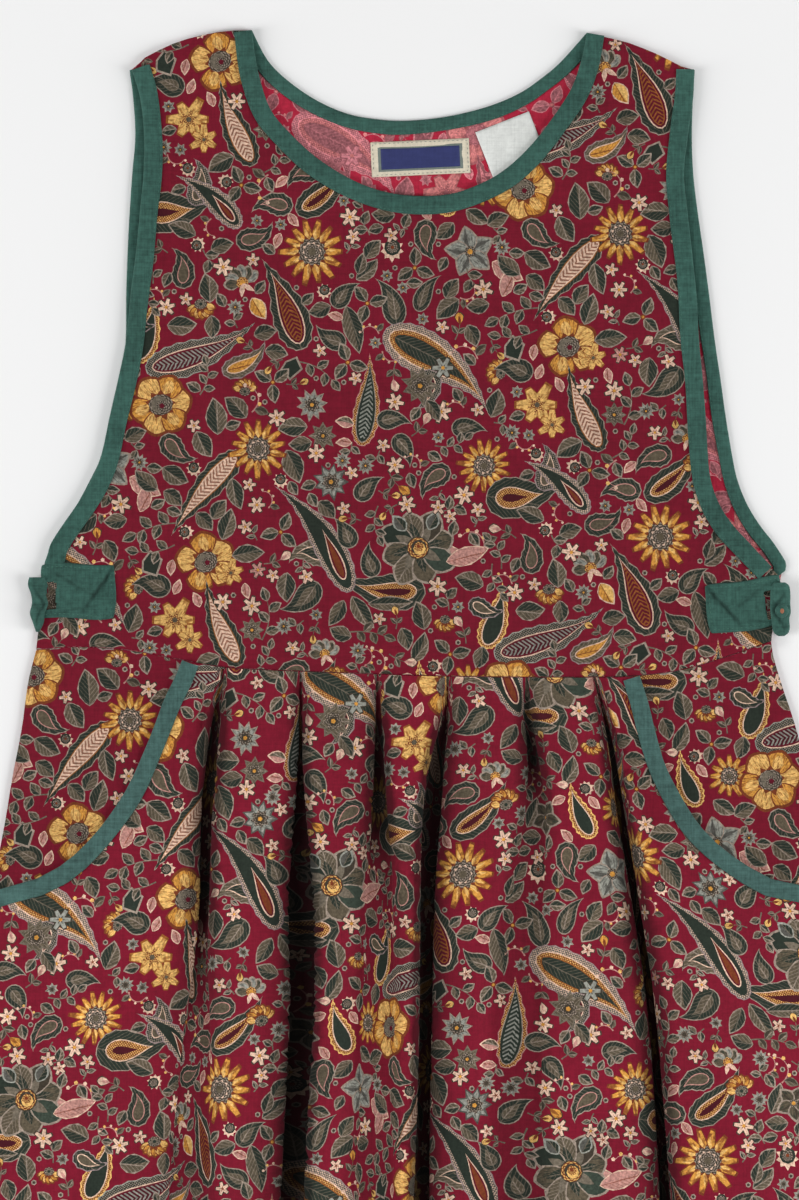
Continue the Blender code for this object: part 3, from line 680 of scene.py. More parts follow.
def pansy(radius):
    """A pale gold flower of round petals with rust blotches."""
    return [("gold_dark", bloom(6, radius * 0.55, radius, 0.2, uneven=0.14, seed=8)),
            ("ray_light", bloom(6, radius * 0.5, radius * 0.9, 0.2, uneven=0.14, seed=8)),
            ("seed_gold", bloom(6, radius * 0.2, radius * 0.5, 1.0, 0.3)),
            ("olive", disc(radius * 0.13, count=6))]


def marigold(radius):
    """Half a flower seen from its side: a fan of petals on a dark cup."""
    drawing = []
    for k in range(7):
        stem = Stem(radius, 0.0, 1.0, 6)
        drawing += put([("rust", shape(stem, petal, radius * 0.28, steps=6)),
                        ("petal" if k % 2 else "petal_light",
                         shape(stem, petal, radius * 0.28, 0.55, steps=6))],
                       turn=math.pi / 2 + (k - 3) * 0.42)
    return drawing + [("rust", moved(bloom(7, radius * 0.3, radius * 0.52), 0, radius * 0.1)),
                      ("seed", disc(radius * 0.42, 0, -radius * 0.05, 9, 0.8)),
                      ("green_grey", disc(radius * 0.24, 0, -radius * 0.05, 7, 0.8)),
                      ("green_dark", disc(radius * 0.12, 0, -radius * 0.05, 5))]


def grey_flower(radius, inks=("rim", "petal_grey", "grey_dark")):
    """Five broad grey petals with dark veins."""
    drawing = []
    for k in range(5):
        stem = Stem(radius, 0.1, 1.0, 8)
        drawing += put([(inks[0], shape(stem, blade, radius * 0.36, frills=3, deep=0.5)),
                        (inks[1], shape(stem, blade, radius * 0.36, 0.8, steps=7)),
                        (inks[2], shape(stem, blade, radius * 0.2, 0.8, steps=6, sides=1))],
                       turn=k * TURN / 5 + 0.3)
    return drawing + [("seed", disc(radius * 0.22)), ("gold", disc(radius * 0.11, count=6))]


def olive_flower(radius):
    """The largest flower: eight olive and dark green petals round a ringed gold eye."""
    drawing = put(leaf(radius * 0.95, radius * 0.2, 0.1, PALE_LEAF), turn=-0.3, x=radius * 0.3)
    petal_inks = ("petal_dark", "olive_dark", "leaf", "green_dark", "petal_dark", "leaf", "olive", "green")
    for k, ink in enumerate(petal_inks):
        stem = Stem(radius * (1.0 if k % 2 else 0.9), 0.12, 1.0, 10)
        drawing += put([("rim", shape(stem, petal, radius * 0.30, frills=4, deep=0.8)),
                        (ink, shape(stem, petal, radius * 0.30, 0.7, steps=8)),
                        ("leaf_dark" if k % 2 == 0 else "green_grey",
                         shape(Stem(radius * 0.62, 0.1), blade, radius * 0.13, steps=6))],
                       turn=k * TURN / 8 + 0.25)
    for turn in (1.05, 2.2):
        drawing += put(leaf(radius * 0.5, radius * 0.17, 0.2, ("grey_blue", "leaf_dark", "grey_dark"), 0.9),
                       turn=turn, x=radius * 0.5 * math.cos(turn), y=radius * 0.5 * math.sin(turn))
    return drawing + [("olive_dark", disc(radius * 0.28, count=12)),
                      ("seed_gold", disc(radius * 0.25, count=11)),
                      ("olive_dark", disc(radius * 0.19, 0.5, 0.3, 9)),
                      ("gold_light", disc(radius * 0.15, 1.0, -0.6, 8)),
                      ("seed_gold", disc(radius * 0.12, 0.6, 0.8, 7)),
                      ("rust", disc(radius * 0.05, 0.3, 1.2, 5))]


def star(radius, inks=("cream", "rust"), petals=6):
    """A small flower of pointed petals."""
    return [("olive_dark", bloom(petals, radius * 0.66, radius * 1.16, 0.4)),
            (inks[0], bloom(petals, radius * 0.42, radius, 0.4)),
            (inks[1], bloom(petals, radius * 0.12, radius * 0.52)), ("gold", disc(radius * 0.2, count=5))]


def daisy(radius, inks=("rim", "ray_grey", "seed"), petals=10):
    """A grey-blue daisy with a dark middle."""
    return [(inks[0], bloom(petals, radius * 0.62, radius)),
            (inks[1], bloom(petals, radius * 0.5, radius * 0.86)),
            (inks[2], bloom(8, radius * 0.36, radius * 0.52, turn=0.2)),
            ("olive_dark", disc(radius * 0.26, count=6)), ("gold", disc(radius * 0.13, count=5))]


def berry(radius):
    """A dark seed head with a cream fringe below it."""
    return [("cream", bloom(9, radius * 0.85, radius * 1.25)),
            ("green_dark", disc(radius * 0.85, 0, radius * 0.24, 9)),
            ("seed", disc(radius * 0.62, 0, radius * 0.24, 8)),
            ("rust", disc(radius * 0.2, 0, radius * 0.24, 5))]


def bud(length, inks=("petal_cream", "pink")):
    """A small bud on a curved stem between two leaves."""
    stem = Stem(length, 0.7, 1.0, 8)
    top = stem.at(0.62)
    drawing = [("green_grey", line(stem.at(np.linspace(0, 0.7, 4)), 0.9))]
    for t, turn, size in ((0.25, 1.0, 0.42), (0.3, -0.6, 0.36)):
        spot = stem.at(t)
        drawing += put(leaf(length * size, length * 0.12, 0.3, DULL_LEAF, 0.4),
                       x=spot[0], y=spot[1], turn=turn)
    head = [("olive_dark", shape(Stem(length * 0.5, 0.3, 1.0, 6), petal, length * 0.2, steps=6)),
            (inks[0], shape(Stem(length * 0.47, 0.3, 1.0, 6), petal, length * 0.16, steps=6)),
            (inks[1], shape(Stem(length * 0.35, 0.3, 1.0, 6), blade, length * 0.06, steps=5))]
    return drawing + put(head, x=top[0], y=top[1], turn=0.5)


def spray(length, count=5, inks=("rim", "leaf", "leaf_dark"), curl=1.0):
    """A curved stem with leaves on both sides."""
    stem = Stem(length, curl, 1.2)
    drawing = [("green_grey", line(stem.at(np.linspace(0, 0.95, 6)), 1.0))]
    for k in range(count):
        t = 0.2 + 0.75 * k / max(count - 1, 1)
        spot = stem.at(t)
        side = (1 if k % 2 else -1) if k < count - 1 else 0
        drawing += put(leaf(length * 0.36, length * 0.12, 0.4 * side, inks, 0.5), x=spot[0], y=spot[1],
                       turn=float(np.interp(t, stem.t, stem.heading)) + 0.8 * side)
    return drawing


# Kinds of teardrop: the frills round it, how deep they are and how late its stem bends, then its layers from
# outside in, each with its inset as a share of the half width and in millimetres, and its ink
TEARDROPS = {
    "leafy": (9, 1.4, 2, (0, 0, "rim"), (0, 0.7, "leaf_dark"), (0.35, 0, "cream"), (0.35, 0.9, "burgundy"),
              (0.55, 0, "gold_dark"), (0.55, 0.6, "zigzag_red")),
    "slim": (10, 1.3, 2, (0, 0, "rim"), (0, 0.6, "leaf_dark"), (0.32, 0, "gold_dark"), (0.32, 0.7, "cream"),
             (0.32, 1.5, "zigzag")),
    "fat": (14, 0.9, 3, (0, 0, "lilac"), (0, 0.7, "lace"), (0.26, 0, "cream"), (0.26, 0.8, "lace_gold"),
            (0.26, 3.4, "gold_dark"), (0.26, 4.2, "leaf_dark")),
    "long": (13, 0.8, 1.6, (0, 0, "lilac"), (0, 0.8, "lace"), (0, 2.6, "green_dark")),
    "loop": (0, 0, 2, (0, 0, "cream"), (0, 0.9, "burgundy"), (0, 2.0, "rust")),
    "feather": (11, 0.9, 2, (0, 0, "pink"), (0, 0.6, "lace_gold"), (0, 2.0, "rim"), (0, 2.7, "green_dark"),
                (0.5, 0, "zigzag_dark")),
    "grey": (12, 1.1, 2, (0, 0, "grey_blue"), (0, 0.7, "lace_dark"), (0.38, 0, "cream"),
             (0.38, 0.8, "burgundy"), (0.38, 2.0, "zigzag_grey")),
    "crescent": (8, 0.8, 1, (0, 0, "rim"), (0, 0.6, "leaf_dark"), (0.45, 0, "cream"),
                 (0.45, 0.7, "lace_gold"), (0.8, 0, "deep")),
    "pod": (12, 1.0, 2, (0, 0, "gold_light"), (0, 0.9, "lace_gold"), (0, 2.2, "cream"),
            (0, 3.0, "green_dark")),
    "horn": (0, 0, 2, (0, 0, "rim"), (0, 0.7, "leaf_dark"), (0.5, 0, "green_grey"), (0.5, 0.6, "leaf")),
    "curled": (7, 0.8, 2, (0, 0, 0), (0, 0.7, 1), (0.45, 0, 2), (0.45, 0.7, 3)),
}


def drop_of(kind, length, half, curl, inks=("lilac", "leaf_dark", "cream", "olive")):
    """A teardrop of a kind with a bent tip; a kind that numbers its inks takes them from those given."""
    frills, deep, power, *layers = TEARDROPS[kind]
    stem = Stem(length, curl, power)
    drawing = []
    for k, (share, inset, ink) in enumerate(layers):
        inset += half * share
        if half - inset > 0.4:
            outline = shape(stem, drop, half, inset, frills if k < 2 else 0, deep, 12)
            drawing.append((ink if isinstance(ink, str) else inks[ink], outline))
    return drawing


def beaded(length, half, curl):
    """A long dark green teardrop with a beaded border and a small cream loop."""
    inner = drop_of("loop", length * 0.42, half * 0.42, 0.1)
    return drop_of("long", length, half, curl) + put(inner, x=length * 0.1, y=0.3)


def fan(radius):
    """A grey-olive fan flower with a gold heart."""
    drawing = []
    for k in range(6):
        stem = Stem(radius, 0.1, 1.0, 6)
        drawing += put([("rim", shape(stem, petal, radius * 0.3, frills=3, deep=0.4)),
                        ("petal_dark" if k % 2 else "petal_grey",
                         shape(stem, petal, radius * 0.3, 0.6, steps=6))],
                       turn=math.pi / 2 + (k - 2.5) * 0.5)
    drawing += [("seed_gold", disc(radius * 0.32, 0, 0.6, 8)), ("gold", disc(radius * 0.16, 0, 0.6, 6))]
    for turn in (-1.0, -2.1):
        pale = shape(Stem(radius * 0.7, 0.2, 1.0, 4), blade, radius * 0.14, steps=5)
        drawing += put([("petal_cream", pale)], turn=turn)
    return drawing


def shard(length, half):
    """A four-cornered dark leaf with a pale rim."""
    corners = np.array([(0, 0), (0.35, -0.9), (1, -0.25), (0.85, 0.75), (0.3, 0.55)]) * (length, half)
    middle = corners.mean(axis=0)
    return [("rim", corners), ("green_dark", middle + (corners - middle) * 0.8)]


def tendril(length):
    """A curled cream thread with beads on it."""
    stem = Stem(length, 2.6, 1.2)
    drawing = [("pink", line(stem.at(np.linspace(0, 1, 8)), 1.0))]
    for k in range(4):
        spot = stem.at(0.3 + 0.23 * k, -1.0)
        drawing.append(("cream" if k % 2 else "gold_light", disc(length * 0.06, spot[0], spot[1], 5)))
    start = stem.at(0.1)
    return drawing + put(leaf(length * 0.42, length * 0.13, -0.5, DULL_LEAF, 0.5),
                         x=start[0], y=start[1], turn=-0.7)


def sprig(length, head, curl, size=1.0):
    """A bent stem with two leaves and a flower at its end."""
    stem = Stem(length * 0.72, curl, 1.2)
    drawing = [("green_grey", line(stem.at(np.linspace(0, 0.95, 5)), 0.9))]
    for t, side in ((0.2, 1), (0.42, -1)):
        spot = stem.at(t)
        drawing += put(leaf(length * 0.38, length * 0.13 * size, 0.4 * side, rim=0.5), x=spot[0], y=spot[1],
                       turn=curl * t + 0.9 * side)
    end = stem.at(1.0)
    return drawing + put(head, x=end[0], y=end[1])


def trefoil(length):
    """Three dark leaves round a berry."""
    drawing = []
    for k in range(3):
        turn = k * TURN / 3 + 0.4 * math.sin(3 * k)
        drawing += put(leaf(length, length * 0.33, 0.3),
                       turn=turn, x=1.2 * math.cos(turn), y=1.2 * math.sin(turn))
    return drawing + [("rust", disc(1.9, count=7)), ("gold", disc(1.0, count=6))]


# The large motifs of one repeat: drawing, where its middle or the head of its stem lies in chart
# steps, which way its stem runs in degrees, from +X towards +Y, and whether it is flipped
CHART = (
    (drop_of("leafy", 66, 11.52, 0.3), 302, 350, 108),
    (fan(13), 243, 284, 20),
    (leaf(17, 5.6, 0.2, GOLD_LEAF), 252, 298, -62),
    (sunflower(21), 312, 252, 0),
    (marigold(10.5), 201, 305, 185),
    (drop_of("grey", 80, 11, 0.5), 146, 370, 14),
    (drop_of("curled", 38, 7, 1.2, ("lilac", "leaf", "cream", "leaf_gold")), 222, 372, 14),
    (shard(15, 9), 280, 370, 10),
    (drop_of("slim", 72, 9, 0.25), 240, 452, 226),
    (leaf(25, 7.5, 0.2), 218, 435, 92),
    (leaf(24, 7.5, -0.2), 286, 450, -62),
    (leaf(22, 6, 0.3), 232, 478, -82),
    (gold_flower(21.5), 161, 405, 10),
    (sunflower(19), 258, 449, 12),
    (marigold(9), 245, 391, 0),
    (daisy(11), 312, 405, 8),
    (daisy(9.5, ("green_grey", "leaf", "seed"), 8), 323, 436, 0),
    (daisy(12.5, ("grey_dark", "ray_grey", "seed"), 9), 331, 482, 0),
    (drop_of("feather", 62, 8.4, 0.25), 361, 446, 80),
    (leaf(13, 4, 0.5, ("cream", "leaf", "pink")), 354, 425, 155),
    (leaf(33, 7, -0.15), 346, 306, -70),
    (leaf(20, 5.5, 0.5), 356, 280, 30),
    (leaf(15, 4.4, 0.2), 358, 275, 72),
    (spray(26, 4, curl=-0.8), 300, 362, -10),
    (drop_of("horn", 36, 8, 0.9), 397, 326, 98),
    (drop_of("horn", 30, 6, -0.9), 418, 312, 74),
    (drop_of("fat", 88, 14.5, 0.75), 384, 332, -27, True),
    (drop_of("curled", 30, 8, -1.8, ("lilac", "lace_dark", "cream", "deep")), 425, 370, -70),
    (grey_flower(17.5), 470, 252, 10),
    (leaf(24, 7, 0.2, PALE_LEAF), 492, 262, -36),
    (spray(30, 5, curl=0.5), 540, 308, 182),
    (marigold(10), 500, 373, 75),
    (berry(6.5), 392, 250, -10),
    (bud(17, ("petal", "rust")), 455, 340, 60),
    (leaf(14, 4.4, 0.2, DULL_LEAF), 420, 398, 100),
    (daisy(13, ("green_grey", "leaf", "seed"), 9), 420, 386, 0),
    (star(7, ("grey_blue", "olive_dark")), 443, 368, 0),
    (star(7, ("cream", "rust")), 441, 412, 12),
    (leaf(17, 5, -0.3), 426, 400, -50),
    (sunflower(17.5, 15), 484, 466, 5),
    (drop_of("crescent", 52, 13.5, 0.6), 486, 496, 350),
    (drop_of("curled", 34, 7.5, 1.5, ("lilac", "lace_dark", "cream", "olive")), 540, 490, 60),
    (bud(20, ("petal", "gold_dark")), 388, 470, -70),
    (drop_of("crescent", 60, 12, 0.85), 425, 588, 196, True),
    (drop_of("horn", 34, 8.5, -1.2), 318, 582, 236),
    (drop_of("curled", 32, 8, 1.9, ("rim", "leaf", "cream", "leaf_dark")), 330, 560, 150),
    (beaded(88, 9.8, 0.62), 350, 592, 112),
    (leaf(26, 6, 0.3), 352, 596, -64),
    (leaf(20, 5.4, -0.3), 344, 600, -112),
    (leaf(30, 5, 0.1), 368, 604, 0),
    (olive_flower(27.5), 418, 548, 0),
    (leaf(30, 6.4, 0.15, PALE_LEAF), 446, 562, 14),
    (drop_of("horn", 24, 7, 0.6), 352, 548, 110),
    (gold_flower(21, 5), 206, 562, 30),
    (pansy(9.5), 231, 573, 20),
    (leaf(22, 6.4, 0.2), 222, 540, 68),
    (leaf(22, 6.4, -0.2), 232, 556, 12),
    (drop_of("slim", 62, 9, -0.35), 240, 666, 118),
    (pansy(14.5), 175, 620, 0),
    (pansy(10), 190, 640, 30),
    (drop_of("horn", 28, 8, 1.1), 170, 592, 150),
    (shard(16, 10), 142, 572, 40),
    (spray(28, 4, curl=0.9), 262, 640, 60),
    (daisy(8.5, ("green_grey", "leaf", "seed"), 8), 252, 630, 0),
    (spray(26, 4, curl=-0.7), 175, 545, 208),
    (star(5.5), 257, 505, 0),
    (star(6.2), 252, 606, 20),
    (star(5.8), 223, 602, 0),
    (star(5.2, ("pink", "rust")), 258, 570, 10),
    (fan(11), 325, 655, 10),
    (spray(24, 5, DULL_LEAF, -0.5), 350, 632, 6),
    (marigold(8.5), 445, 620, 180),
    (drop_of("pod", 46, 8.6, 0.45), 484, 648, 66),
    (leaf(22, 5.6, 0.6), 412, 662, 50),
    (leaf(20, 5, 0.6, PALE_LEAF), 140, 512, 62),
    (leaf(20, 6, -0.4), 158, 490, 150),
    (drop_of("curled", 26, 6, 1.4), 470, 600, -40),
    (beaded(56, 7.6, 0.6), 240, 228, 128),
    (leaf(20, 6, 0.3), 196, 236, 150),
    (drop_of("crescent", 52, 9.5, 0.8), 296, 212, 22),
    (leaf(22, 6, 0.3), 378, 206, 60),
    (marigold(11), 350, 182, 20),
    (grey_flower(13, ("rim", "petal_dark", "olive_dark")), 402, 196, 40),
    (drop_of("pod", 40, 7.5, -0.5), 452, 216, 118),
    (sunflower(14, 12), 482, 186, 0),
    (leaf(18, 5.4, 0.4), 466, 210, -40),
)

# Small motifs that fill the gaps: drawing, how far back it starts, the room that it needs, how many
FILLERS = (
    (drop_of("curled", 30, 7.4, 1.5, ("rim", "leaf_dark", "pink", "olive")), 14, 11.5, 7),
    (sprig(26, star(6.4), 1.1), 13, 9.4, 5),
    (tendril(24), 11, 9, 5),
    (drop_of("horn", 25, 6.8, -0.9), 12.5, 9, 7),
    (trefoil(13), 0, 8.6, 7),
    (spray(22, 5), 10.5, 8, 6),
    (sprig(20, daisy(6), -1), 10, 7.4, 8),
    (leaf(20, 6.8, 0.35), 10, 7.2, 12),
    (bud(18), 8.5, 6.8, 6),
    (sprig(17, star(4.8, ("petal_cream", "rust"), 5), 0.9, 0.8), 8.5, 6.2, 7),
    (tendril(16), 7.5, 5.6, 10),
    (bud(14, ("petal_light", "rust")), 7, 5.2, 9),
    (leaf(16, 5.6, -0.4), 8, 5.3, 20),
    (star(5.8), 0, 4.8, 6),
    (berry(4.2), 0, 4.4, 8),
    (leaf(11, 3.2, 0.4, PALE_LEAF), 5.5, 4, 12),
    (daisy(4.6, petals=7), 0, 4, 12),
    (star(4.4, ("petal_cream", "rust"), 5), 0, 3.8, 14),
    (leaf(11, 3.8, 0.3), 5.5, 3.5, 28),
    ([("rim", disc(1.9, count=6)), ("olive_dark", disc(1.1, count=5))], 0, 2.2, 30),
)
FILLER_GAP = 0.2
# How far apart the places lie that are tried for small motifs
FILLER_GRID = 2.6


def chart_place(x, y):
    """A chart position in millimetres on the cloth."""
    return (x - CHART_ZERO[0]) * CHART_STEP, CHART_ZERO_Y - (y - CHART_ZERO[1]) * CHART_STEP


ACROSS = np.array((REPEAT_ACROSS[0], -REPEAT_ACROSS[1])) * CHART_STEP
DOWN = np.array((REPEAT_DOWN[0], -REPEAT_DOWN[1])) * CHART_STEP


def surface(outline):
    """The area of an outline."""
    x, y = outline[:, 0], outline[:, 1]
    return abs(np.sum(x * np.roll(y, -1) - y * np.roll(x, -1))) / 2


def followed(outline, apart):
    """Points along an outline, no further apart than this."""
    ends = np.roll(outline, -1, axis=0)
    parts = [a + (b - a) * np.linspace(0, 1, int(np.hypot(*(b - a)) / apart) + 1, endpoint=False)[:, None]
             for a, b in zip(outline, ends)]
    return np.vstack(parts)


def within(spots, outline):
    """Which spots lie inside an outline."""
    x, y = spots[:, 0], spots[:, 1]
    result = np.zeros(len(spots), bool)
    for a, b in zip(outline, np.roll(outline, -1, axis=0)):
        if a[1] != b[1]:
            result ^= ((a[1] > y) != (b[1] > y)) & (x < (b[0] - a[0]) * (y - a[1]) / (b[1] - a[1]) + a[0])
    return result


def design():
    """One repeat of the print: the charted motifs, and small ones in the gaps between them."""
    draw = random.Random(41)
    motifs = []
    for drawing, x, y, turn, *flip in CHART:
        place = chart_place(x, y)
        motifs.append((put(drawing, x=place[0], y=place[1], turn=math.radians(turn), flip=bool(flip)),
                       draw.uniform(0.94, 1.06)))
    wide, high = ACROSS[0], -DOWN[1]
    corner = chart_place(135, 670)
    columns, rows = np.meshgrid(np.arange(0, wide, FILLER_GRID), np.arange(0, high, FILLER_GRID))
    spots = np.column_stack((columns.ravel() + corner[0], rows.ravel() + corner[1]))
    room = np.full(len(spots), 1e9)

    def ink_in(drawing):
        """Takes the room that a drawing covers, in every repeat that reaches the spots."""
        inked = np.vstack([followed(item[1], 2.0) for item in drawing])
        for i in (-1, 0, 1):
            for j in (-2, -1, 0, 1, 2):
                there = inked + i * ACROSS + j * DOWN
                low, high_end = there.min(axis=0) - 14, there.max(axis=0) + 14
                near = np.nonzero(np.all((spots > low) & (spots < high_end), axis=1))[0]
                for some in np.array_split(near, len(near) * len(there) // 400000 + 1):
                    if len(some):
                        away = spots[some][:, None, :] - there[None, :, :]
                        room[some] = np.minimum(room[some], np.sqrt((away ** 2).sum(axis=2)).min(axis=1))
                for item in drawing:
                    if len(near) and surface(item[1]) > 30:
                        room[near[within(spots[near], item[1] + i * ACROSS + j * DOWN)]] = 0

    for drawing, _ in motifs:
        ink_in(drawing)
    order = list(range(len(spots)))
    draw.shuffle(order)
    for drawing, back, need, most in FILLERS:
        made_here = 0
        for k in order:
            if room[k] > need + FILLER_GAP and made_here < most:
                turn = draw.uniform(0, TURN)
                x = spots[k][0] - back * math.cos(turn)
                y = spots[k][1] - back * math.sin(turn)
                made = put(drawing, x=x, y=y, turn=turn)
                motifs.append((made, draw.uniform(0.92, 1.08)))
                ink_in(made)
                made_here += 1
    return motifs


def thinned(outline, least):
    """The outline without the corners that hardly matter: those whose triangle is under least."""
    rows = outline.tolist()
    while len(rows) > 4:
        around = np.array(rows)
        before, after = around - np.roll(around, 1, axis=0), np.roll(around, -1, axis=0) - around
        areas = np.abs(before[:, 0] * after[:, 1] - before[:, 1] * after[:, 0]) / 2
        weakest = int(areas.argmin())
        if areas[weakest] >= least:
            break
        del rows[weakest]
    return np.array(rows)


# How finely the print is drawn: the least corner that is kept and the smallest shape, in square millimetres
FINENESS = {
    # name: least corner, smallest shape
    "full": (0.02, 0.3),
    "plain": (0.22, 2.0),
    "light": (0.8, 6.5),
    "rough": (1.8, 22.0),
    "bare": (1.0, 1e6),
}


def drawn(motifs, fineness):
    """The motifs with only the corners and shapes that this fineness keeps."""
    least, smallest = FINENESS[fineness]
    result = []
    for drawing, shade in motifs:
        kept = []
        for ink, outline, axes in drawing:
            if surface(outline) >= smallest:
                kept.append((ink, thinned(outline, least), axes))
        if kept:
            result.append((kept, shade))
    return result


def spread(motifs, area):
    """The motifs of every repeat that reach into an area (x low, y low, x high, y high)."""
    boxes = []
    for drawing, _ in motifs:
        inked = np.vstack([item[1] for item in drawing])
        boxes.append((inked.min(axis=0), inked.max(axis=0)))
    result = []
    for i in range(-5, 6):
        for j in range(-8, 9):
            shift = i * ACROSS + j * DOWN
            for (drawing, shade), (low, high) in zip(motifs, boxes):
                if (low[0] + shift[0] < area[2] and high[0] + shift[0] > area[0]
                        and low[1] + shift[1] < area[3] and high[1] + shift[1] > area[1]):
                    shifted = [(ink, outline + shift, axes + shift) for ink, outline, axes in drawing]
                    result.append((shifted, shade))
    return result


# Where each panel lies on the printed cloth, in millimetres from the chart's own zero
SIDE_FRONT_CLOTH = {"left": (84.5, 178.9), "right": (-163.0, 389.4)}
SKIRT_CLOTH_DOWN = 409.9
# The cloth under the middle of each face of the pleated skirt; the pleats hide what lies between
SKIRT_FACES = (-393.5, -287.0, -219.5, -149.4, -54.4, 18.1, 175.2)
SKIRT_DRIFTS = (0.0, 0.0, 8.0, 8.0, 8.0, 36.0, 40.0)
DRIFT_TOP = -100.0
DRIFT_LONG = 525.0
BACK_CLOTH = (60.0, -140.0)
BACK_SKIRT_CLOTH = (-120.0, 300.0)

DYE_STRENGTH = 0.86
GRID = 7.0
COARSE_GRID = 12.0
COARSEST_GRID = 24.0

# Creases of the laid cloth: middle, length, width, turn in degrees, height
BODICE_CREASES = (
    # x, y, length, width, turn, height
    (-168, 300, 60, 7, 32, 1),
    (-150, 272, 70, 6, 8, 0.9),
    (-140, 246, 60, 6, -14, 0.8),
    (-176, 345, 70, 6, 72, 0.7),
    (160, 292, 60, 7, -30, 1),
    (146, 262, 70, 6, -8, 0.8),
    (150, 236, 54, 6, 16, 0.8),
    (172, 352, 70, 6, -74, 0.6),
    (-60, 228, 34, 5, 84, 0.7),
    (-12, 224, 30, 4.6, 96, 0.7),
    (44, 226, 36, 5, 88, 0.7),
    (92, 226, 30, 4.6, 80, 0.6),
    (-104, 232, 34, 5, 98, 0.7),
    (-30, 372, 120, 8, 6, 0.5),
    (60, 430, 90, 7, -18, 0.5),
    (-90, 470, 90, 7, 22, 0.5),
    (20, 320, 130, 8, -4, 0.5),
    (-146, 560, 60, 7, 64, 0.5),
    (150, 560, 60, 7, -66, 0.5),
    (110, 490, 70, 6, -40, 0.5),
)
SKIRT_CREASES = (
    # x, y, length, width, turn, height
    (-185, 20, 90, 6, 74, 1),
    (-214, -30, 110, 7, 78, 1.1),
    (-250, -80, 120, 8, 82, 1.2),
    (-60, -40, 120, 6, 88, 0.8),
    (-44, 60, 60, 5, 92, 0.8),
    (40, 20, 90, 6, 92, 0.9),
    (54, -90, 120, 7, 86, 1),
    (104, -10, 90, 6, 94, 0.9),
    (130, -110, 120, 7, 98, 1),
    (196, -20, 110, 7, 104, 1.1),
    (236, -70, 120, 8, 100, 1.2),
    (-120, -260, 200, 9, 84, 1.4),
    (-230, -330, 240, 10, 78, 1.5),
    (-60, -420, 220, 9, 88, 1.3),
    (36, -330, 240, 9, 90, 1.3),
    (130, -430, 220, 10, 95, 1.5),
    (250, -300, 220, 10, 102, 1.5),
    (330, -480, 160, 10, 104, 1.3),
    (-330, -500, 160, 10, 76, 1.3),
)


def swells(x, y, rows):
    """The height of soft ridges at x and y, arrays in millimetres."""
    total = np.zeros(len(x))
    for sx, sy, length, width, turn, height in rows:
        cos, sin = math.cos(math.radians(turn)), math.sin(math.radians(turn))
        along = ((x - sx) * cos + (y - sy) * sin) / length
        across = ((y - sy) * cos - (x - sx) * sin) / width
        total += height * np.exp(-2 * (along * along + across * across))
    return total


def gap_to(x, y, path):
    """The shortest distance in metres from each point, in metres, to a path."""
    nearest = np.full(len(x), 1.0)
    for a, b in zip(path, path[1:]):
        run = b - a
        share = ((x - a.x) * run.x + (y - a.y) * run.y) / max(run.length_squared, 1e-12)
        share = np.clip(share, 0, 1)
        nearest = np.minimum(nearest, np.hypot(x - a.x - run.x * share, y - a.y - run.y * share))
    return nearest


def front_heights(x, y):
    """The underside of the front bodice at x and y, arrays in metres, as in the part."""
    nearest = np.min([gap_to(x, y, path) for path in RAISERS], axis=0)
    lift = soft((LIFT_REACH - nearest) / (LIFT_REACH - LIFT_FLAT))
    swell = swells(x / MM, y / MM, BODICE_SWELLS) * MM
    waist = soft((y - WAIST_Y) / 0.05)
    return FRONT_BASE + BINDING_LIFT * lift + swell * waist * (1 - lift)


def counterclockwise(outline):
    """The outline, turned round if it runs clockwise."""
    x, y = outline[:, 0], outline[:, 1]
    area = np.sum(x * np.roll(y, -1) - y * np.roll(x, -1))
    return outline if area > 0 else outline[::-1]


def linear(colour):
    """An sRGB colour of 0 to 255 as the linear values that a shader takes."""
    value = np.asarray(colour, float) / 255
    return np.where(value <= 0.04045, value / 12.92, ((value + 0.055) / 1.055) ** 2.4)


def reverse_ink(colour):
    """How an ink shows on the back of the cloth: the ground a brighter red, the other inks a pale rose."""
    colour = np.asarray(colour, float)
    if colour[1] < 0.3 * colour[0]:
        return np.array(REVERSE_GROUND) * (0.7 + 0.3 * colour.mean() / 62)
    rose = np.array(REVERSE_ROSE) * (0.62 + 0.38 * colour.mean() / 190)
    return 0.85 * rose + 0.15 * colour


REVERSE_GROUND = (190, 42, 68)
REVERSE_ROSE = (246, 142, 154)


def grid_spots(outline, step):
    """Points of a slightly uneven grid inside an outline's box."""
    draw = random.Random(len(outline))
    low, high = outline.min(axis=0), outline.max(axis=0)
    spots = []
    for i, x in enumerate(np.arange(low[0] + step / 2, high[0], step)):
        for y in np.arange(low[1] + (i % 2) * step / 2, high[1], step):
            spots.append((x + draw.uniform(-0.3, 0.3), y + draw.uniform(-0.3, 0.3)))
    return np.array(spots)


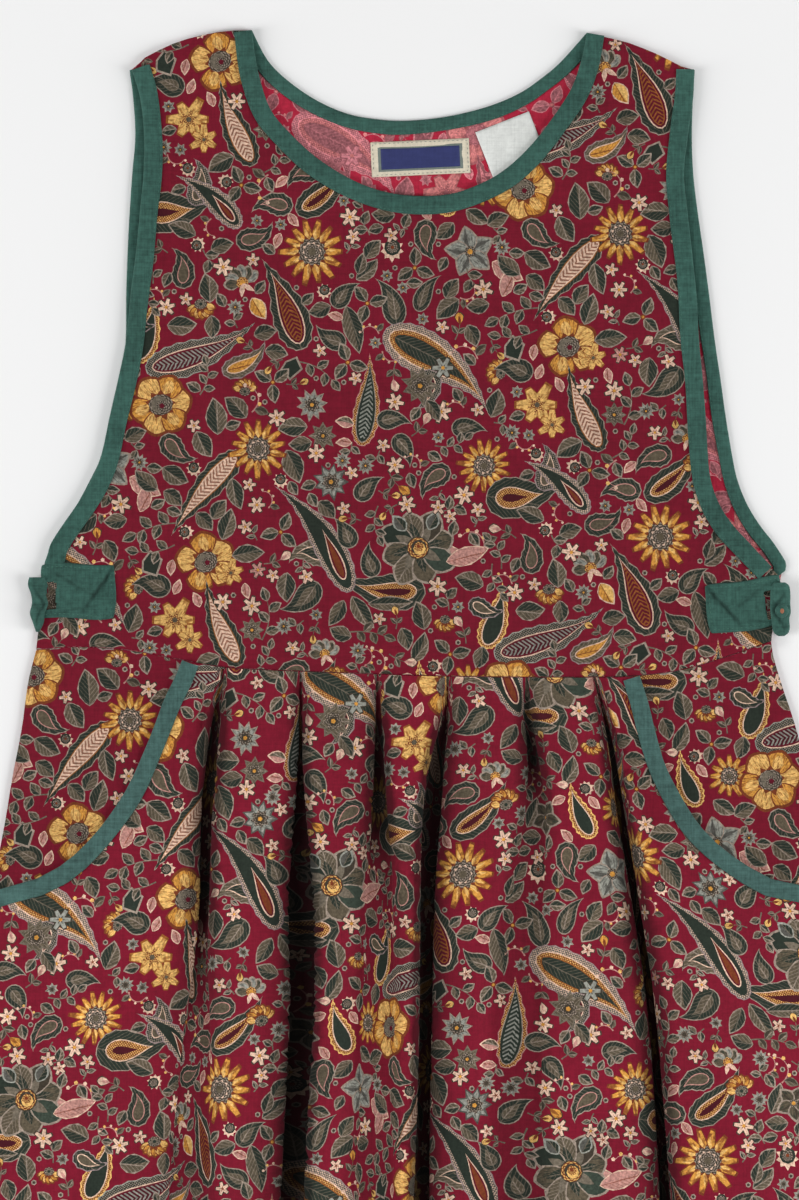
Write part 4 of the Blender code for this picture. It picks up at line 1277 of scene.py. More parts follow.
def printed_faces(region, spots, fineness, reverse=False, fine_above=None):
    """Divides a region of the cloth by the print's outlines.

    It gives points on the cloth, triangles, and the dye of each: its colour, the colour and pattern
    of the strokes in it, and where its three corners lie on the axes that its motif was drawn on.
    Below fine_above, if given, the print is drawn lightly.
    """
    points, faces, dyes, axes = [], [], [], []

    def ink(name, shade):
        ground, strokes, pattern = DRAWN_INKS.get(name, (name, name, "plain"))
        pair = [linear(reverse_ink(INKS[key]) if reverse else INKS[key]) * shade * DYE_STRENGTH
                for key in (ground, strokes)]
        return np.concatenate((*pair, [PATTERNS.index(pattern)]))

    def add(outline, dye, own_axes):
        faces.append(list(range(len(points), len(points) + len(outline))))
        points.extend(Vector(spot) for spot in counterclockwise(outline).tolist())
        dyes.append(dye)
        axes.append(own_axes)

    add(region, ink("ground", 1.0), OWN_AXES)
    low, high = region.min(axis=0), region.max(axis=0)
    fine = spread(MOTIFS[fineness], (*low, *high))
    if fine_above is not None:
        fine = [motif for motif in fine if motif[0][0][1][0, 1] >= fine_above]
        fine += [motif for motif in spread(MOTIFS["light"], (*low, *high))
                 if motif[0][0][1][0, 1] < fine_above]
    for drawing, shade in fine:
        for name, outline, own_axes in drawing:
            add(outline, ink(name, shade), own_axes)
    points.extend(Vector(spot) for spot in spots.tolist())
    flat, _, triangles, _, _, origin = delaunay_2d_cdt(points, [], faces, 0, 1e-4, True)
    kept, top = [], []
    for triangle, sources in zip(triangles, origin):
        if 0 in sources:
            kept.append(triangle)
            top.append(max(sources))
    used = sorted({corner for triangle in kept for corner in triangle})
    number = {old: new for new, old in enumerate(used)}
    cloth = np.array([flat[k][:] for k in used])
    triangles = np.array([[number[c] for c in t] for t in kept])
    frames = np.array(axes)[top]
    away = cloth[triangles] - frames[:, 0][:, None, :]
    own = [((away * (frames[:, k] - frames[:, 0])[:, None, :]).sum(axis=2)
            / ((frames[:, k] - frames[:, 0]) ** 2).sum(axis=1)[:, None]) for k in (1, 2)]
    return cloth, triangles, np.column_stack((np.array(dyes)[top], *own))


class Sheet:
    """Collects the faces of a printed piece."""

    def __init__(self):
        self.spots, self.faces, self.dyes, self.shades = [], [], [], []

    # shade, where given, is painted shade and painted light at each point, multiplied into the dye
    def add(self, spots, triangles, dyes, down=False, shade=None):
        start = sum(len(s) for s in self.spots)
        self.spots.append(np.asarray(spots, float))
        self.shades.append(np.ones(len(spots)) if shade is None else shade)
        order = (2, 1, 0) if down else (0, 1, 2)
        self.faces.append(start + triangles[:, order])
        self.dyes.append(np.column_stack((dyes[:, :7], dyes[:, [7 + k for k in order]],
                                          dyes[:, [10 + k for k in order]])))

    def rim(self, upper, lower):
        """A wall in the ground's colour between two paths of as many points."""
        count = len(upper)
        k = np.arange(count - 1)
        triangles = np.vstack((np.column_stack((k, count + k, count + k + 1)),
                               np.column_stack((k, count + k + 1, k + 1))))
        plain = np.concatenate((np.tile(linear(INKS["ground"]) * DYE_STRENGTH, 2), np.zeros(7)))
        self.add(np.vstack((upper, lower)), triangles, np.tile(plain, (len(triangles), 1)))

    def edge(self, outline, height):
        """A wall as deep as the cloth round a flat panel whose top is at a height."""
        around = as_array(outline + outline[:1]) * MM
        upper = np.column_stack((around, np.full(len(around), height)))
        self.rim(upper, upper - (0, 0, WALL))

    def made(self, name, finish):
        faces, dyes = np.vstack(self.faces), np.vstack(self.dyes)
        # Painted shade and light at each corner, multiplied into both dye attributes
        shade = np.concatenate(self.shades)[faces]
        mesh = bpy.data.meshes.new(name)
        mesh.from_pydata(np.vstack(self.spots).tolist(), [], faces.tolist())
        mesh.update()
        for key, first in (("dye", 0), ("stroke_dye_with_painted_shade", 3)):
            values = np.ones((len(faces), 3, 4), np.float32)
            values[:, :, :3] = dyes[:, None, first:first + 3] * shade[:, :, None]
            layer = mesh.color_attributes.new(name=key, type="FLOAT_COLOR", domain="CORNER")
            layer.data.foreach_set("color", values.ravel())
        values = np.zeros((len(faces), 3, 3), np.float32)
        values[:, :, 0], values[:, :, 1], values[:, :, 2] = dyes[:, 7:10], dyes[:, 10:13], dyes[:, 6:7]
        layer = mesh.attributes.new(name="drawn", type="FLOAT_VECTOR", domain="CORNER")
        layer.data.foreach_set("vector", values.ravel())
        mesh.polygons.foreach_set("use_smooth", [True] * len(mesh.polygons))
        mesh.materials.append(finish)
        made = bpy.data.objects.new(name, mesh)
        bpy.context.scene.collection.objects.link(made)
        return made


# How far an armhole's binding runs on below the underarm, to the tab over it
BINDING_RUNS_ON = {"front": 13.0 * MM, "back": 9.0 * MM}


def bodice_outline(layer):
    """A bodice panel's outline in metres, and its armhole and neck edges."""
    neck = BACK_NECK if layer == "back" else FRONT_NECK
    drop_low = BACK_WAIST_DROP if layer == "back" else 0.0
    arms, low = {}, {}
    for side in ("left", "right"):
        rows = armhole(side, layer)
        if layer == "front":
            rows[0] = [a + (b - a) * FRONT_UNDERARM_TRIM for a, b in zip(rows[0], rows[1])]
        arms[side] = smooth_path(rows, 121)
        x = side_x(WAIST_Y + 0.020, side, layer)
        start = Vector((x, waist_y(x) + WAIST_GAP / 2 - drop_low))
        low[side] = [start.lerp(arms[side][0], share) for share in (0.0, 0.25, 0.5, 0.75)]
        for spot in low[side][1:]:
            spot.x = side_x(spot.y, side, layer)
    collar = smooth_path(neck, 161)
    outline = low["left"] + arms["left"][::4]
    outline += smooth_path(LEFT_SHOULDER, 9)[1:-1] + collar[::4] + smooth_path(RIGHT_SHOULDER, 9)[1:-1]
    outline += list(reversed(arms["right"][::4])) + list(reversed(low["right"]))
    for k in range(1, 40):
        x = low["right"][0].x + (low["left"][0].x - low["right"][0].x) * k / 40
        outline.append(Vector((x, waist_y(x) + WAIST_GAP / 2 - drop_low)))
    edges = {"neck": collar}
    for side in ("left", "right"):
        below = (low[side][-1] - arms[side][0]).normalized() + (arms[side][0] - arms[side][3]).normalized()
        edges[side] = [arms[side][0] + below.normalized() * BINDING_RUNS_ON[layer] * share
                       for share in (1.0, 0.66, 0.33)] + arms[side]
    return outline, edges


def as_array(path):
    """A path as rows of millimetres."""
    return np.array([(spot.x / MM, spot.y / MM) for spot in path])


def front_bodice():
    """The printed front bodice with its creases."""
    outline, edges = bodice_outline("front")
    region = as_array(outline)

    def place(flat):
        x, y = flat[:, 0] * MM, flat[:, 1] * MM
        z = front_heights(x, y) + WALL
        inward = soft((gap_to(x, y, outline + outline[:1]) - 0.010) / 0.02)
        z += swells(flat[:, 0], flat[:, 1], BODICE_CREASES) * MM * inward
        return np.column_stack((x, y, z))

    cloth, faces, dyes = printed_faces(region, grid_spots(region, GRID), "full")
    sheet = Sheet()
    sheet.add(place(cloth), faces, dyes)
    around = place(np.vstack((region, region[:1])))
    sheet.rim(around, around - (0, 0, WALL))
    return sheet.made("front_bodice_cloth", printed), edges


def two_sided(name, outline, shift, spacing, inside):
    """A flat back panel: its printed outside on the floor, and above it the inside on a grid as given."""
    region = as_array(outline) + shift
    sheet = Sheet()
    for height, fineness, reverse in ((WALL, inside, True), (0.0, "rough", False)):
        cloth, faces, dyes = printed_faces(region, grid_spots(region, spacing), fineness, reverse)
        spots = np.column_stack(((cloth - shift) * MM, np.full(len(cloth), height)))
        sheet.add(spots, faces, dyes, down=not reverse)
    sheet.edge(outline, WALL)
    return sheet.made(name, printed)


def back_bodice():
    """The back bodice, whose paler inside shows in the neck."""
    outline, edges = bodice_outline("back")
    return two_sided("back_bodice_cloth", outline, BACK_CLOTH, COARSE_GRID, "plain"), edges


# How far the back of the skirt stays behind the front's edge, and the length in which the skirt's edge
# leaves the bodice's
TUCKED_IN = 1.5 * MM
EDGE_EASES = 50.0 * MM


def skirt_edge(y, side):
    """The skirt's outer edge, which starts at the bodice's corner."""
    corner = side_x(WAIST_Y + 0.020, side, "front")
    top = waist_y(corner)
    near = float(soft(1 + (y - top) / EDGE_EASES))
    return side_x(min(y, top), side, "front") + (corner - side_x(top, side, "front")) * near


def back_skirt():
    """The back of the skirt, with its outside on the floor."""
    levels = [y * MM for y in (*range(220, 176, -4), *range(176, -624, -20))] + [HEM_Y]
    edges = []
    for side, sign in (("left", -1), ("right", 1)):
        edge = []
        for y in levels:
            x = sign * min(sign * side_x(y, side, "back"), sign * skirt_edge(y, side) - TUCKED_IN)
            if y < waist_y(x) - BACK_WAIST_DROP - MM:
                edge.append(Vector((x, y)))
        edges.append(edge)
    left, right = edges
    outline = left + [left[-1].lerp(right[-1], k / 30) for k in range(1, 30)] + right[::-1]
    for k in range(30, -1, -1):
        x = left[0].x + (right[0].x - left[0].x) * k / 30
        outline.append(Vector((x, waist_y(x) - WAIST_GAP / 2 - BACK_WAIST_DROP)))
    return two_sided("back_skirt_cloth", outline, BACK_SKIRT_CLOTH, COARSEST_GRID, "bare")


def side_front(side):
    """The side front behind a pocket mouth."""
    sign = -1 if side == "left" else 1
    mouth = smooth_path(LEFT_POCKET if side == "left" else RIGHT_POCKET, 25)
    inner = []
    for j, spot in enumerate(mouth):
        run = (mouth[min(j + 1, 24)] - mouth[max(j - 1, 0)]).normalized()
        inner.append(spot + Vector((-run.y, run.x)) * SIDE_FRONT_LAP * -sign)
    inner[0] = Vector((mouth[0].x - sign * SIDE_FRONT_LAP, 0))
    inner[0].y = waist_y(inner[0].x) - WAIST_GAP / 2
    top_x = side_x(WAIST_Y + 0.018, side, "front")
    top_y = waist_y(top_x) - WAIST_GAP / 2
    outer = []
    for k in range(21):
        y = top_y + (SIDE_FRONT_END * MM - top_y) * k / 20
        outer.append(Vector((skirt_edge(y, side), y)))
    inner = [spot for spot in inner if abs(spot.x) < abs(skirt_edge(spot.y, side)) - 0.001]
    outline = inner + list(reversed(outer))
    for k in range(1, 12):
        x = outer[0].x + (inner[0].x - outer[0].x) * k / 12
        outline.append(Vector((x, waist_y(x) - WAIST_GAP / 2)))
    shift = SIDE_FRONT_CLOTH[side]
    region = as_array(outline) + shift
    cloth, faces, dyes = printed_faces(counterclockwise(region), grid_spots(region, GRID), "full")
    flat = cloth - shift
    x, y = flat[:, 0] * MM, flat[:, 1] * MM
    inward = soft((gap_to(x, y, outline + outline[:1]) - 0.004) / 0.02)
    ripple = 0.5 * MM * np.sin(flat[:, 0] * 0.11 + flat[:, 1] * 0.06) + 0.3 * MM * np.sin(flat[:, 1] * 0.19)
    z = FRONT_BASE + WALL + np.maximum(ripple, 0) * inward
    sheet = Sheet()
    sheet.add(np.column_stack((x, y, z)), faces, dyes)
    sheet.edge(outline, FRONT_BASE + WALL)
    return sheet.made(f"side_front_cloth_{side}", printed)


SKIRT_STEP = 8.0
FINE_BELOW = -165.0


# How the pleats lie: which side slopes in softly (-1 left, 1 right), and how far painted shade reaches down
# that slope
PLEAT_LIES = (
    # side, reach of the painted shade from the gap at the top, at the level 0 and at the hem
    (-1, 2.5, 6, 12),
    (-1, 1.5, 7, 13),
    (-1, 3, 7, 12),
    (1, 4, 8, 13),
    (-1, 2, 6, 12),
    (-1, 1.5, 5, 12),
)
# How strongly painted shade darkens the cloth at and inside the deepest folds
FOLD_PAINTED_SHADE = 0.93
# Painted light: how much brighter the skirt front's faces are painted than the bodice, at the waist and
# further down
FACE_PAINTED_LIGHT = (1.16, 1.29)
SLOPE_SAG = 0.45


# In the section, the points before the first fold, from one fold to the next, and from lip to lip
FIRST_FOLD = 5
FOLD_POINTS = 10
LIP_POINTS = 7
# Painted shade: how dark a fold's lips and its inside are painted, and how far the painted shade reaches on
# the side that stands up
LIP_PAINTED_SHADE = 0.62
INSIDE_PAINTED_SHADE = (0.72, 0.28)
STEEP_REACH = 1.4
HIGHEST_SAG = 14.0


def fold_lips(k):
    """Where the left and right lips of fold k lie on the smooth section."""
    left = (FIRST_FOLD + FOLD_POINTS * k) * SMOOTH_STEPS
    return left, left + LIP_POINTS * SMOOTH_STEPS


def skirt_row(level):
    """One level of the skirt front: cloth positions, X and Z along its smooth section, and its painted shade
    and light.
    """
    section = skirt_section(level * MM)
    path = rounded([Vector(spot) for spot in section])
    x = np.array([spot.x for spot in path])
    z = np.array([spot.y for spot in path])
    middles = [table_at(rows, level, 1) for rows in PLEATS.values()]
    anchors = [middles[0] - 40] + [(a + b) / 2 for a, b in zip(middles, middles[1:])] + [middles[-1] + 40]
    drift = soft(np.array([(DRIFT_TOP - level) / DRIFT_LONG]))[0]
    cloth = np.full(len(x), np.nan)
    for k, anchor in enumerate(anchors):
        start = fold_lips(k - 1)[1] if k else 0
        stop = fold_lips(k)[0] if k < len(PLEATS) else len(x) - 1
        cloth[start:stop + 1] = SKIRT_FACES[k] + SKIRT_DRIFTS[k] * drift + x[start:stop + 1] / MM - anchor
    known = ~np.isnan(cloth)
    arc = np.concatenate(([0.0], np.cumsum(np.hypot(np.diff(x), np.diff(z)))))
    cloth[~known] = np.interp(arc[~known], arc[known], cloth[known])
    # Painted light: the faces are painted brighter, more so further down
    shade = np.full(len(x), float(np.interp(-level, (-200, 60), FACE_PAINTED_LIGHT)))
    sag = np.zeros(len(x))
    # Painted shade darkens the cloth beside each fold's lips and inside it; the soft side also sags lower
    for k, (rows, (lean, near_top, at_zero, at_hem)) in enumerate(zip(PLEATS.values(), PLEAT_LIES)):
        rise, depth = (table_at(rows, level, column) for column in (3, 4))
        deep = float(np.interp(-level, (-200, -150, -60), (2.4, 5.0, 7.4)))
        fold_shade_strength = FOLD_PAINTED_SHADE * min(max((depth - 0.4) / deep, 0.0), 1.0)
        reach = float(np.interp(-level, (-200, 0, 625), (near_top, at_zero, at_hem)))
        left_lip, right_lip = fold_lips(k)
        for side, lip in ((-1, left_lip), (1, right_lip)):
            away = (x - x[lip]) * side / MM
            outside = (away > 0) & (away < 60)
            wide = reach if side == lean else STEEP_REACH
            shade[outside] *= 1 - LIP_PAINTED_SHADE * fold_shade_strength * np.exp(-away[outside] / wide)
            if side == lean:
                share = np.exp(-(away[outside] / (1.3 * wide)) ** 2)
                sag[outside] += SLOPE_SAG * min(rise, HIGHEST_SAG) * MM * share
        inside = slice(left_lip, right_lip + 1)
        across = np.linspace(0, 1, right_lip - left_lip + 1)
        into = np.minimum(across, across[::-1]) * 3.5
        shade[inside] *= 1 - fold_shade_strength * (INSIDE_PAINTED_SHADE[0] + INSIDE_PAINTED_SHADE[1] * np.clip(into, 0, 1))
        sag[inside] += SLOPE_SAG * min(rise, HIGHEST_SAG) * MM * (1 - across if lean < 0 else across) ** 1.5
    low = FRONT_BASE + SKIRT_WALL / 2
    z = np.maximum(z - np.minimum(sag, np.maximum(z - low, 0) * 0.8), np.minimum(z, low))
    return np.maximum.accumulate(cloth + np.arange(len(cloth)) * 1e-5), x, z, shade


# The skirt front is made as two pieces that meet unseen at the bottom of the fourth pleat's fold
SKIRT_CUT = sum(fold_lips(3)) // 2


def front_skirt(side):
    """Half of the pleated skirt front: the print runs over the faces and into the folds."""
    levels = np.append(np.arange(200.0, -624.0, -SKIRT_STEP), HEM_Y / MM)
    half = slice(0, SKIRT_CUT + 1) if side == "left" else slice(SKIRT_CUT, None)
    rows = [tuple(values[half] for values in skirt_row(level)) for level in levels]
    left = [(row[0][0], level) for row, level in zip(rows, levels)]
    right = [(row[0][-1], level) for row, level in zip(rows, levels)]
    top = [(u, levels[0]) for u in rows[0][0][::3]]
    hem = [(u, levels[-1]) for u in rows[-1][0][::2]]
    outline = np.array(left + hem[1:-1] + right[::-1] + top[-2:0:-1]) + (0.0, SKIRT_CLOTH_DOWN)
    spots = []
    for j, (row, level) in enumerate(zip(rows, levels)):
        if 0 < j < len(rows) - 1 and (level > FINE_BELOW or j % 2):
            for u in row[0][2:-2:2 if level > FINE_BELOW else 3]:
                spots.append((u, level + SKIRT_CLOTH_DOWN))
    cloth, faces, dyes = printed_faces(outline, np.array(spots), "plain",
                                       fine_above=FINE_BELOW + SKIRT_CLOTH_DOWN)

    def place(flat):
        u, level = flat[:, 0], flat[:, 1] - SKIRT_CLOTH_DOWN
        at = np.clip(np.interp(-level, -levels, np.arange(len(levels))), 0, len(levels) - 1)
        lower = np.minimum(at.astype(int), len(levels) - 2)
        share = at - lower
        x, z, shade = np.zeros(len(u)), np.zeros(len(u)), np.zeros(len(u))
        for j in range(len(levels) - 1):
            here = lower == j
            if here.any():
                for row, weight in ((rows[j], 1 - share[here]), (rows[j + 1], share[here])):
                    x[here] += np.interp(u[here], row[0], row[1]) * weight
                    z[here] += np.interp(u[here], row[0], row[2]) * weight
                    shade[here] += np.interp(u[here], row[0], row[3]) * weight
        follow = soft((level - 100) / 90)
        waist = np.interp(x, WAIST_X, WAIST_LEVEL)
        y = level * MM + (waist - WAIST_Y) * follow - WAIST_GAP / 2 * soft((level - 150) / 50)
        away = np.minimum(gap_to(x, y, points(LEFT_POCKET)), gap_to(x, y, points(RIGHT_POCKET)))
        fade = soft((away - 0.014) / 0.02) * soft((180 - level) / 60)
        z += SKIRT_WALL / 2 + swells(x / MM, y / MM, SKIRT_CREASES) * MM * fade
        return np.column_stack((x, y, z)), shade

    sheet = Sheet()
    spots, shade = place(cloth)
    # The skirt's painted fold shade and painted face light go into its dye
    sheet.add(spots, faces, dyes, shade=shade)
    outer = place(np.array(left if side == "left" else right) + (0.0, SKIRT_CLOTH_DOWN))[0]
    edge_hem = place(np.array(hem) + (0.0, SKIRT_CLOTH_DOWN))[0]
    for edge in (outer if side == "left" else outer[::-1], edge_hem):
        sheet.rim(edge, edge - (0, 0, SKIRT_WALL))
    last = max(j for j, level in enumerate(levels) if level >= 55)
    return sheet.made(f"front_skirt_cloth_{side}", printed), outer[:last + 1], edge_hem


WAIST_X = np.linspace(-0.26, 0.26, 105)
WAIST_LEVEL = np.array([waist_y(x) for x in WAIST_X])


def new_piece(name, bm, finish, smooth=True):
    """A finished piece from a bmesh."""
    mesh = bpy.data.meshes.new(name)
    bm.to_mesh(mesh)
    bm.free()
    mesh.polygons.foreach_set("use_smooth", [smooth] * len(mesh.polygons))
    mesh.materials.append(finish)
    made = bpy.data.objects.new(name, mesh)
    bpy.context.scene.collection.objects.link(made)
    return made


def laid_grid(bm, columns, rows, place):
    """Adds a grid whose corner at column i and row j is put at place(i, j)."""
    made = bmesh.ops.create_grid(bm, x_segments=columns, y_segments=rows, size=1.0)["verts"]
    for vert in made:
        i = round((vert.co.x + 1) / 2 * columns)
        j = round((vert.co.y + 1) / 2 * rows)
        vert.co = place(i, j)
    return made


def face_up(bm):
    """Makes the faces agree, with most of a laid piece's facing up."""
    bmesh.ops.recalc_face_normals(bm, faces=bm.faces)
    if sum(face.normal.z * face.calc_area() for face in bm.faces) < 0:
        bmesh.ops.reverse_faces(bm, faces=bm.faces)


def walled(bm, lowered):
    """Turns a laid sheet's faces up and gives it walls, their feet at a function of the edge's height."""
    face_up(bm)
    made = bmesh.ops.extrude_edge_only(bm, edges=[e for e in bm.edges if e.is_boundary])["geom"]
    for vert in [g for g in made if isinstance(g, bmesh.types.BMVert)]:
        vert.co.z = lowered(vert.co.z)
    face_up(bm)


def crease(bm, amount):
    """Notes on each vertex how much painted crease shade darkens it, a function of its place."""
    layer = bm.verts.layers.float.new("painted_crease_shade")
    for vert in bm.verts:
        vert[layer] = amount(vert.co)


def flat_height(x, y):
    """The back lies on the floor."""
    return np.zeros(len(x))


def pocket_height(x, y):
    """The underside of the skirt front beside a pocket mouth."""
    return np.full(len(x), POCKET_BASE)


# A binding's section: share of its width in from the edge, metres past the edge, height over the panel
BINDING_SECTION = (
    # in, past, up
    (1.000, 0.0, 0.55),
    (0.985, 0.0, 1.00),
    (0.930, 0.0, 1.22),
    (0.885, 0.0, 1.10),
    (0.840, 0.0, 1.26),
    (0.600, 0.0, 1.38),
    (0.350, 0.0, 1.40),
    (0.120, 0.0, 1.36),
    (0.000, 0.35, 1.24),
    (0.000, 0.80, 0.90),
    (0.000, 1.10, 0.20),
    (0.000, 1.08, -0.45),
    (0.000, 0.80, -0.85),
    (0.000, 0.35, -0.98),
)
STITCH_AT = 0.885
PUCKER = 0.16


def binding(name, edge, inward, width, heights, panel_wall, finish, seed, round_end=0.0):
    """A folded band over a panel's edge, slightly puckered at its stitching; its first end can be round."""
    draw = random.Random(seed)
    waves = [(draw.uniform(*paces), draw.uniform(0, TURN)) for paces in ((0.25, 0.5), (0.7, 1.1), (1.6, 2.2))]
    path = [spot.xy for spot in edge]
    count = len(path)
    run = []
    for i in range(count):
        run.append((path[min(i + 2, count - 1)] - path[max(i - 2, 0)]).normalized())
    along = [0.0]
    for a, b in zip(path, path[1:]):
        along.append(along[-1] + (b - a).length)
    x = np.array([spot.x for spot in path])
    y = np.array([spot.y for spot in path])
    foot = heights(x, y)
    pulled = np.zeros(count)
    if round_end:
        pulled = round_end * (1 - np.sqrt(1 - np.clip(1 - np.array(along) / round_end, 0, 1) ** 2))
    rows = []
    for share, past, up in BINDING_SECTION:
        away = share * width - past * MM + pulled * (1 - share)
        nx = np.array([-r.y * inward for r in run])
        ny = np.array([r.x * inward for r in run])
        sway = np.array([0.25 * MM * share * math.sin(s / MM * 0.09 + seed) for s in along])
        sx, sy = x + nx * (away + sway), y + ny * (away + sway)
        base = np.maximum(heights(sx, sy), foot) if past == 0 else foot
        puff = np.zeros(count)
        for pace, phase in waves:
            puff += np.array([math.sin(s / MM * pace + phase + share * 2) for s in along])
        puff *= (0.35 + 0.65 * share) * (1 if 0.05 < share < 0.95 else 0.2)
        lift = up * MM + PUCKER * MM * puff * 0.5
        top = base + panel_wall + lift
        if past:
            top = foot + panel_wall * (1 + min(up, 0)) + max(up, 0) * MM
            if up < 0:
                top = foot + panel_wall * (1 + up)
        rows.append(np.column_stack((sx, sy, np.maximum(top, foot))))
    bm = bmesh.new()
    laid_grid(bm, count - 1, len(rows) - 1, lambda i, j: rows[j][i])
    face_up(bm)
    for end in (0, count - 1):
        ring = [bm.verts.new(row[end]) for row in rows]
        bm.faces.new(ring if end else ring[::-1])
    line_share = [k for k, row in enumerate(BINDING_SECTION) if row[0] == STITCH_AT][0]
    return new_piece(name, bm, finish), rows[line_share]


STITCH_LONG = 2.1 * MM
STITCH_APART = 3.0 * MM
STITCH_WIDE = 0.42 * MM
STITCH_HIGH = 0.22 * MM


def stitches(name, lines, finish):
    """Rows of small thread stitches along lines on the cloth."""
    bm = bmesh.new()
    for path in lines:
        path = np.asarray(path)
        steps = np.linalg.norm(np.diff(path, axis=0), axis=1)
        along = np.concatenate(([0.0], np.cumsum(steps)))
        for start in np.arange(STITCH_APART / 2, along[-1] - STITCH_LONG, STITCH_APART):
            ends = [Vector([np.interp(start + d, along, path[:, axis]) for axis in range(3)])
                    for d in (0, STITCH_LONG)]
            run = (ends[1] - ends[0]).normalized()
            side = Vector((-run.y, run.x, 0)).normalized() * STITCH_WIDE / 2
            up = Vector((0, 0, STITCH_HIGH))
            middle = (ends[0] + ends[1]) / 2 + up
            low = [bm.verts.new(spot) for spot in (ends[0] - up * 0.4, middle - up + side, ends[1] - up * 0.4,
                                                   middle - up - side)]
            crown = [bm.verts.new(middle + run * STITCH_LONG * share) for share in (-0.22, 0.22)]
            bm.faces.new((low[0], low[3], crown[0]))
            bm.faces.new((low[0], crown[0], low[1]))
            bm.faces.new((low[1], crown[0], crown[1]))
            bm.faces.new((crown[0], low[3], crown[1]))
            bm.faces.new((low[2], crown[1], low[3]))
            bm.faces.new((low[2], low[1], crown[1]))
    bmesh.ops.recalc_face_normals(bm, faces=bm.faces)
    return new_piece(name, bm, finish)


TAB_CREASES = (
    # share across, share down, length, width, turn, height, all in millimetres
    (0.28, 0.42, 22.0, 3.0, 56.0, 1.1),
    (0.55, 0.30, 18.0, 2.8, -30.0, 0.6),
    (0.16, 0.24, 12.0, 2.4, 70.0, 0.5),
    (0.68, 0.80, 16.0, 2.6, 12.0, 0.6),
)
# How dark the painted shade in a crease's trough gets
CREASE_PAINTED_SHADE = 0.55


def side_tab(row):
    """A stitched tab on the bodice with a slot near its outer end."""
    side, x, y, wide, high, turn, slot_from, slot_to, slot_top, slot_bottom = row
    sign = -1 if side == "left" else 1
    columns, rows = 60, 44

    def spot_at(across, down, up):
        pulled = 0.8 * abs(2 * across - 1) ** 7 * abs(2 * down - 1) ** 7
        right = across * wide + 0.6 * math.sin(down * high * 0.17 + 1) - pulled * (2 * across - 1)
        low = down * high + 0.7 * math.sin(across * wide * 0.14 + x) - pulled * (2 * down - 1)
        spot = turned(right * MM, -low * MM, turn)
        spot = Vector((x * MM + sign * spot.x, y * MM + spot.y))
        ground = front_heights(np.array([spot.x]), np.array([spot.y]))[0] + WALL + SEAM
        return Vector((spot.x, spot.y, ground + up))

    def folds(across, down):
        """The ridge and the trough beside it of each crease."""
        ridge, trough = 0.0, 0.0
        for cx, cy, length, width, angle, height in TAB_CREASES:
            dx, dy = (across - cx) * wide, (down - cy) * high
            cos, sin = math.cos(math.radians(angle)), math.sin(math.radians(angle))
            a, b = (dx * cos + dy * sin) / length, (dy * cos - dx * sin) / width
            ridge += height * math.exp(-2 * (a * a + b * b))
            trough += height * math.exp(-2 * a * a - 5 * (b - 0.95) ** 2)
        return ridge, trough

    def puff(across, down):
        edge = min(across * wide, (1 - across) * wide, down * high, (1 - down) * high)
        up = 1.5 * MM * min(1.0, (max(edge, 0) / 1.2 + 0.15)) ** 0.5
        up -= 0.28 * MM * math.exp(-((edge - 2.6) / 0.55) ** 2)
        ridge, trough = folds(across, down)
        up += (ridge - 0.9 * trough) * MM
        slot = max(slot_from - across, across - slot_to, 0) * wide
        slot += max(slot_top - down, down - slot_bottom, 0) * high
        up += 0.35 * MM * math.exp(-((slot - 1.0) / 0.8) ** 2)
        return up

    bm = bmesh.new()
    laid_grid(bm, columns, rows, lambda i, j: spot_at(i / columns, j / rows, puff(i / columns, j / rows)))

    def share_at(spot):
        """How far across and down the tab a place is."""
        local = turned(sign * (spot.x - x * MM), spot.y - y * MM, -turn)
        return local.x / (wide * MM), -local.y / (high * MM)

    # Painted shade along each crease's trough
    crease(bm, lambda spot: min(CREASE_PAINTED_SHADE * folds(*share_at(spot))[1], 0.6))
    hole = []
    for face in bm.faces:
        across, down = share_at(face.calc_center_median())
        if slot_from < across < slot_to and slot_top < down < slot_bottom:
            hole.append(face)
    bmesh.ops.delete(bm, geom=hole, context="FACES")
    walled(bm, lambda z: z - 0.9 * MM)
    inset = 2.6
    a, b = inset / wide, inset / high
    corners = [(a, b), (slot_from - 0.03, b), (1 - a / 2, b), (1 - a / 2, 1 - b), (slot_from - 0.03, 1 - b),
               (a, 1 - b), (a, b)]
    path = []
    for start, end in zip(corners, corners[1:]):
        for k in range(12):
            across, down = start[0] + (end[0] - start[0]) * k / 12, start[1] + (end[1] - start[1]) * k / 12
            path.append(spot_at(across, down, puff(across, down) + 0.05 * MM))
    return new_piece(f"side_tab_{side}_cloth", bm, green_cloth), path


# The right tab end is pulled over its button, so it is fuller than the left one
ROUND_END_SHAPE = (
    # along, left edge, right edge
    (0.00, 0.20, 0.72),
    (0.05, 0.08, 0.90),
    (0.16, 0.02, 0.97),
    (0.42, 0.00, 0.98),
    (0.56, 0.02, 1.00),
    (0.68, 0.06, 0.93),
    (0.86, 0.12, 0.95),
    (0.95, 0.22, 0.86),
    (1.00, 0.40, 0.68),
)


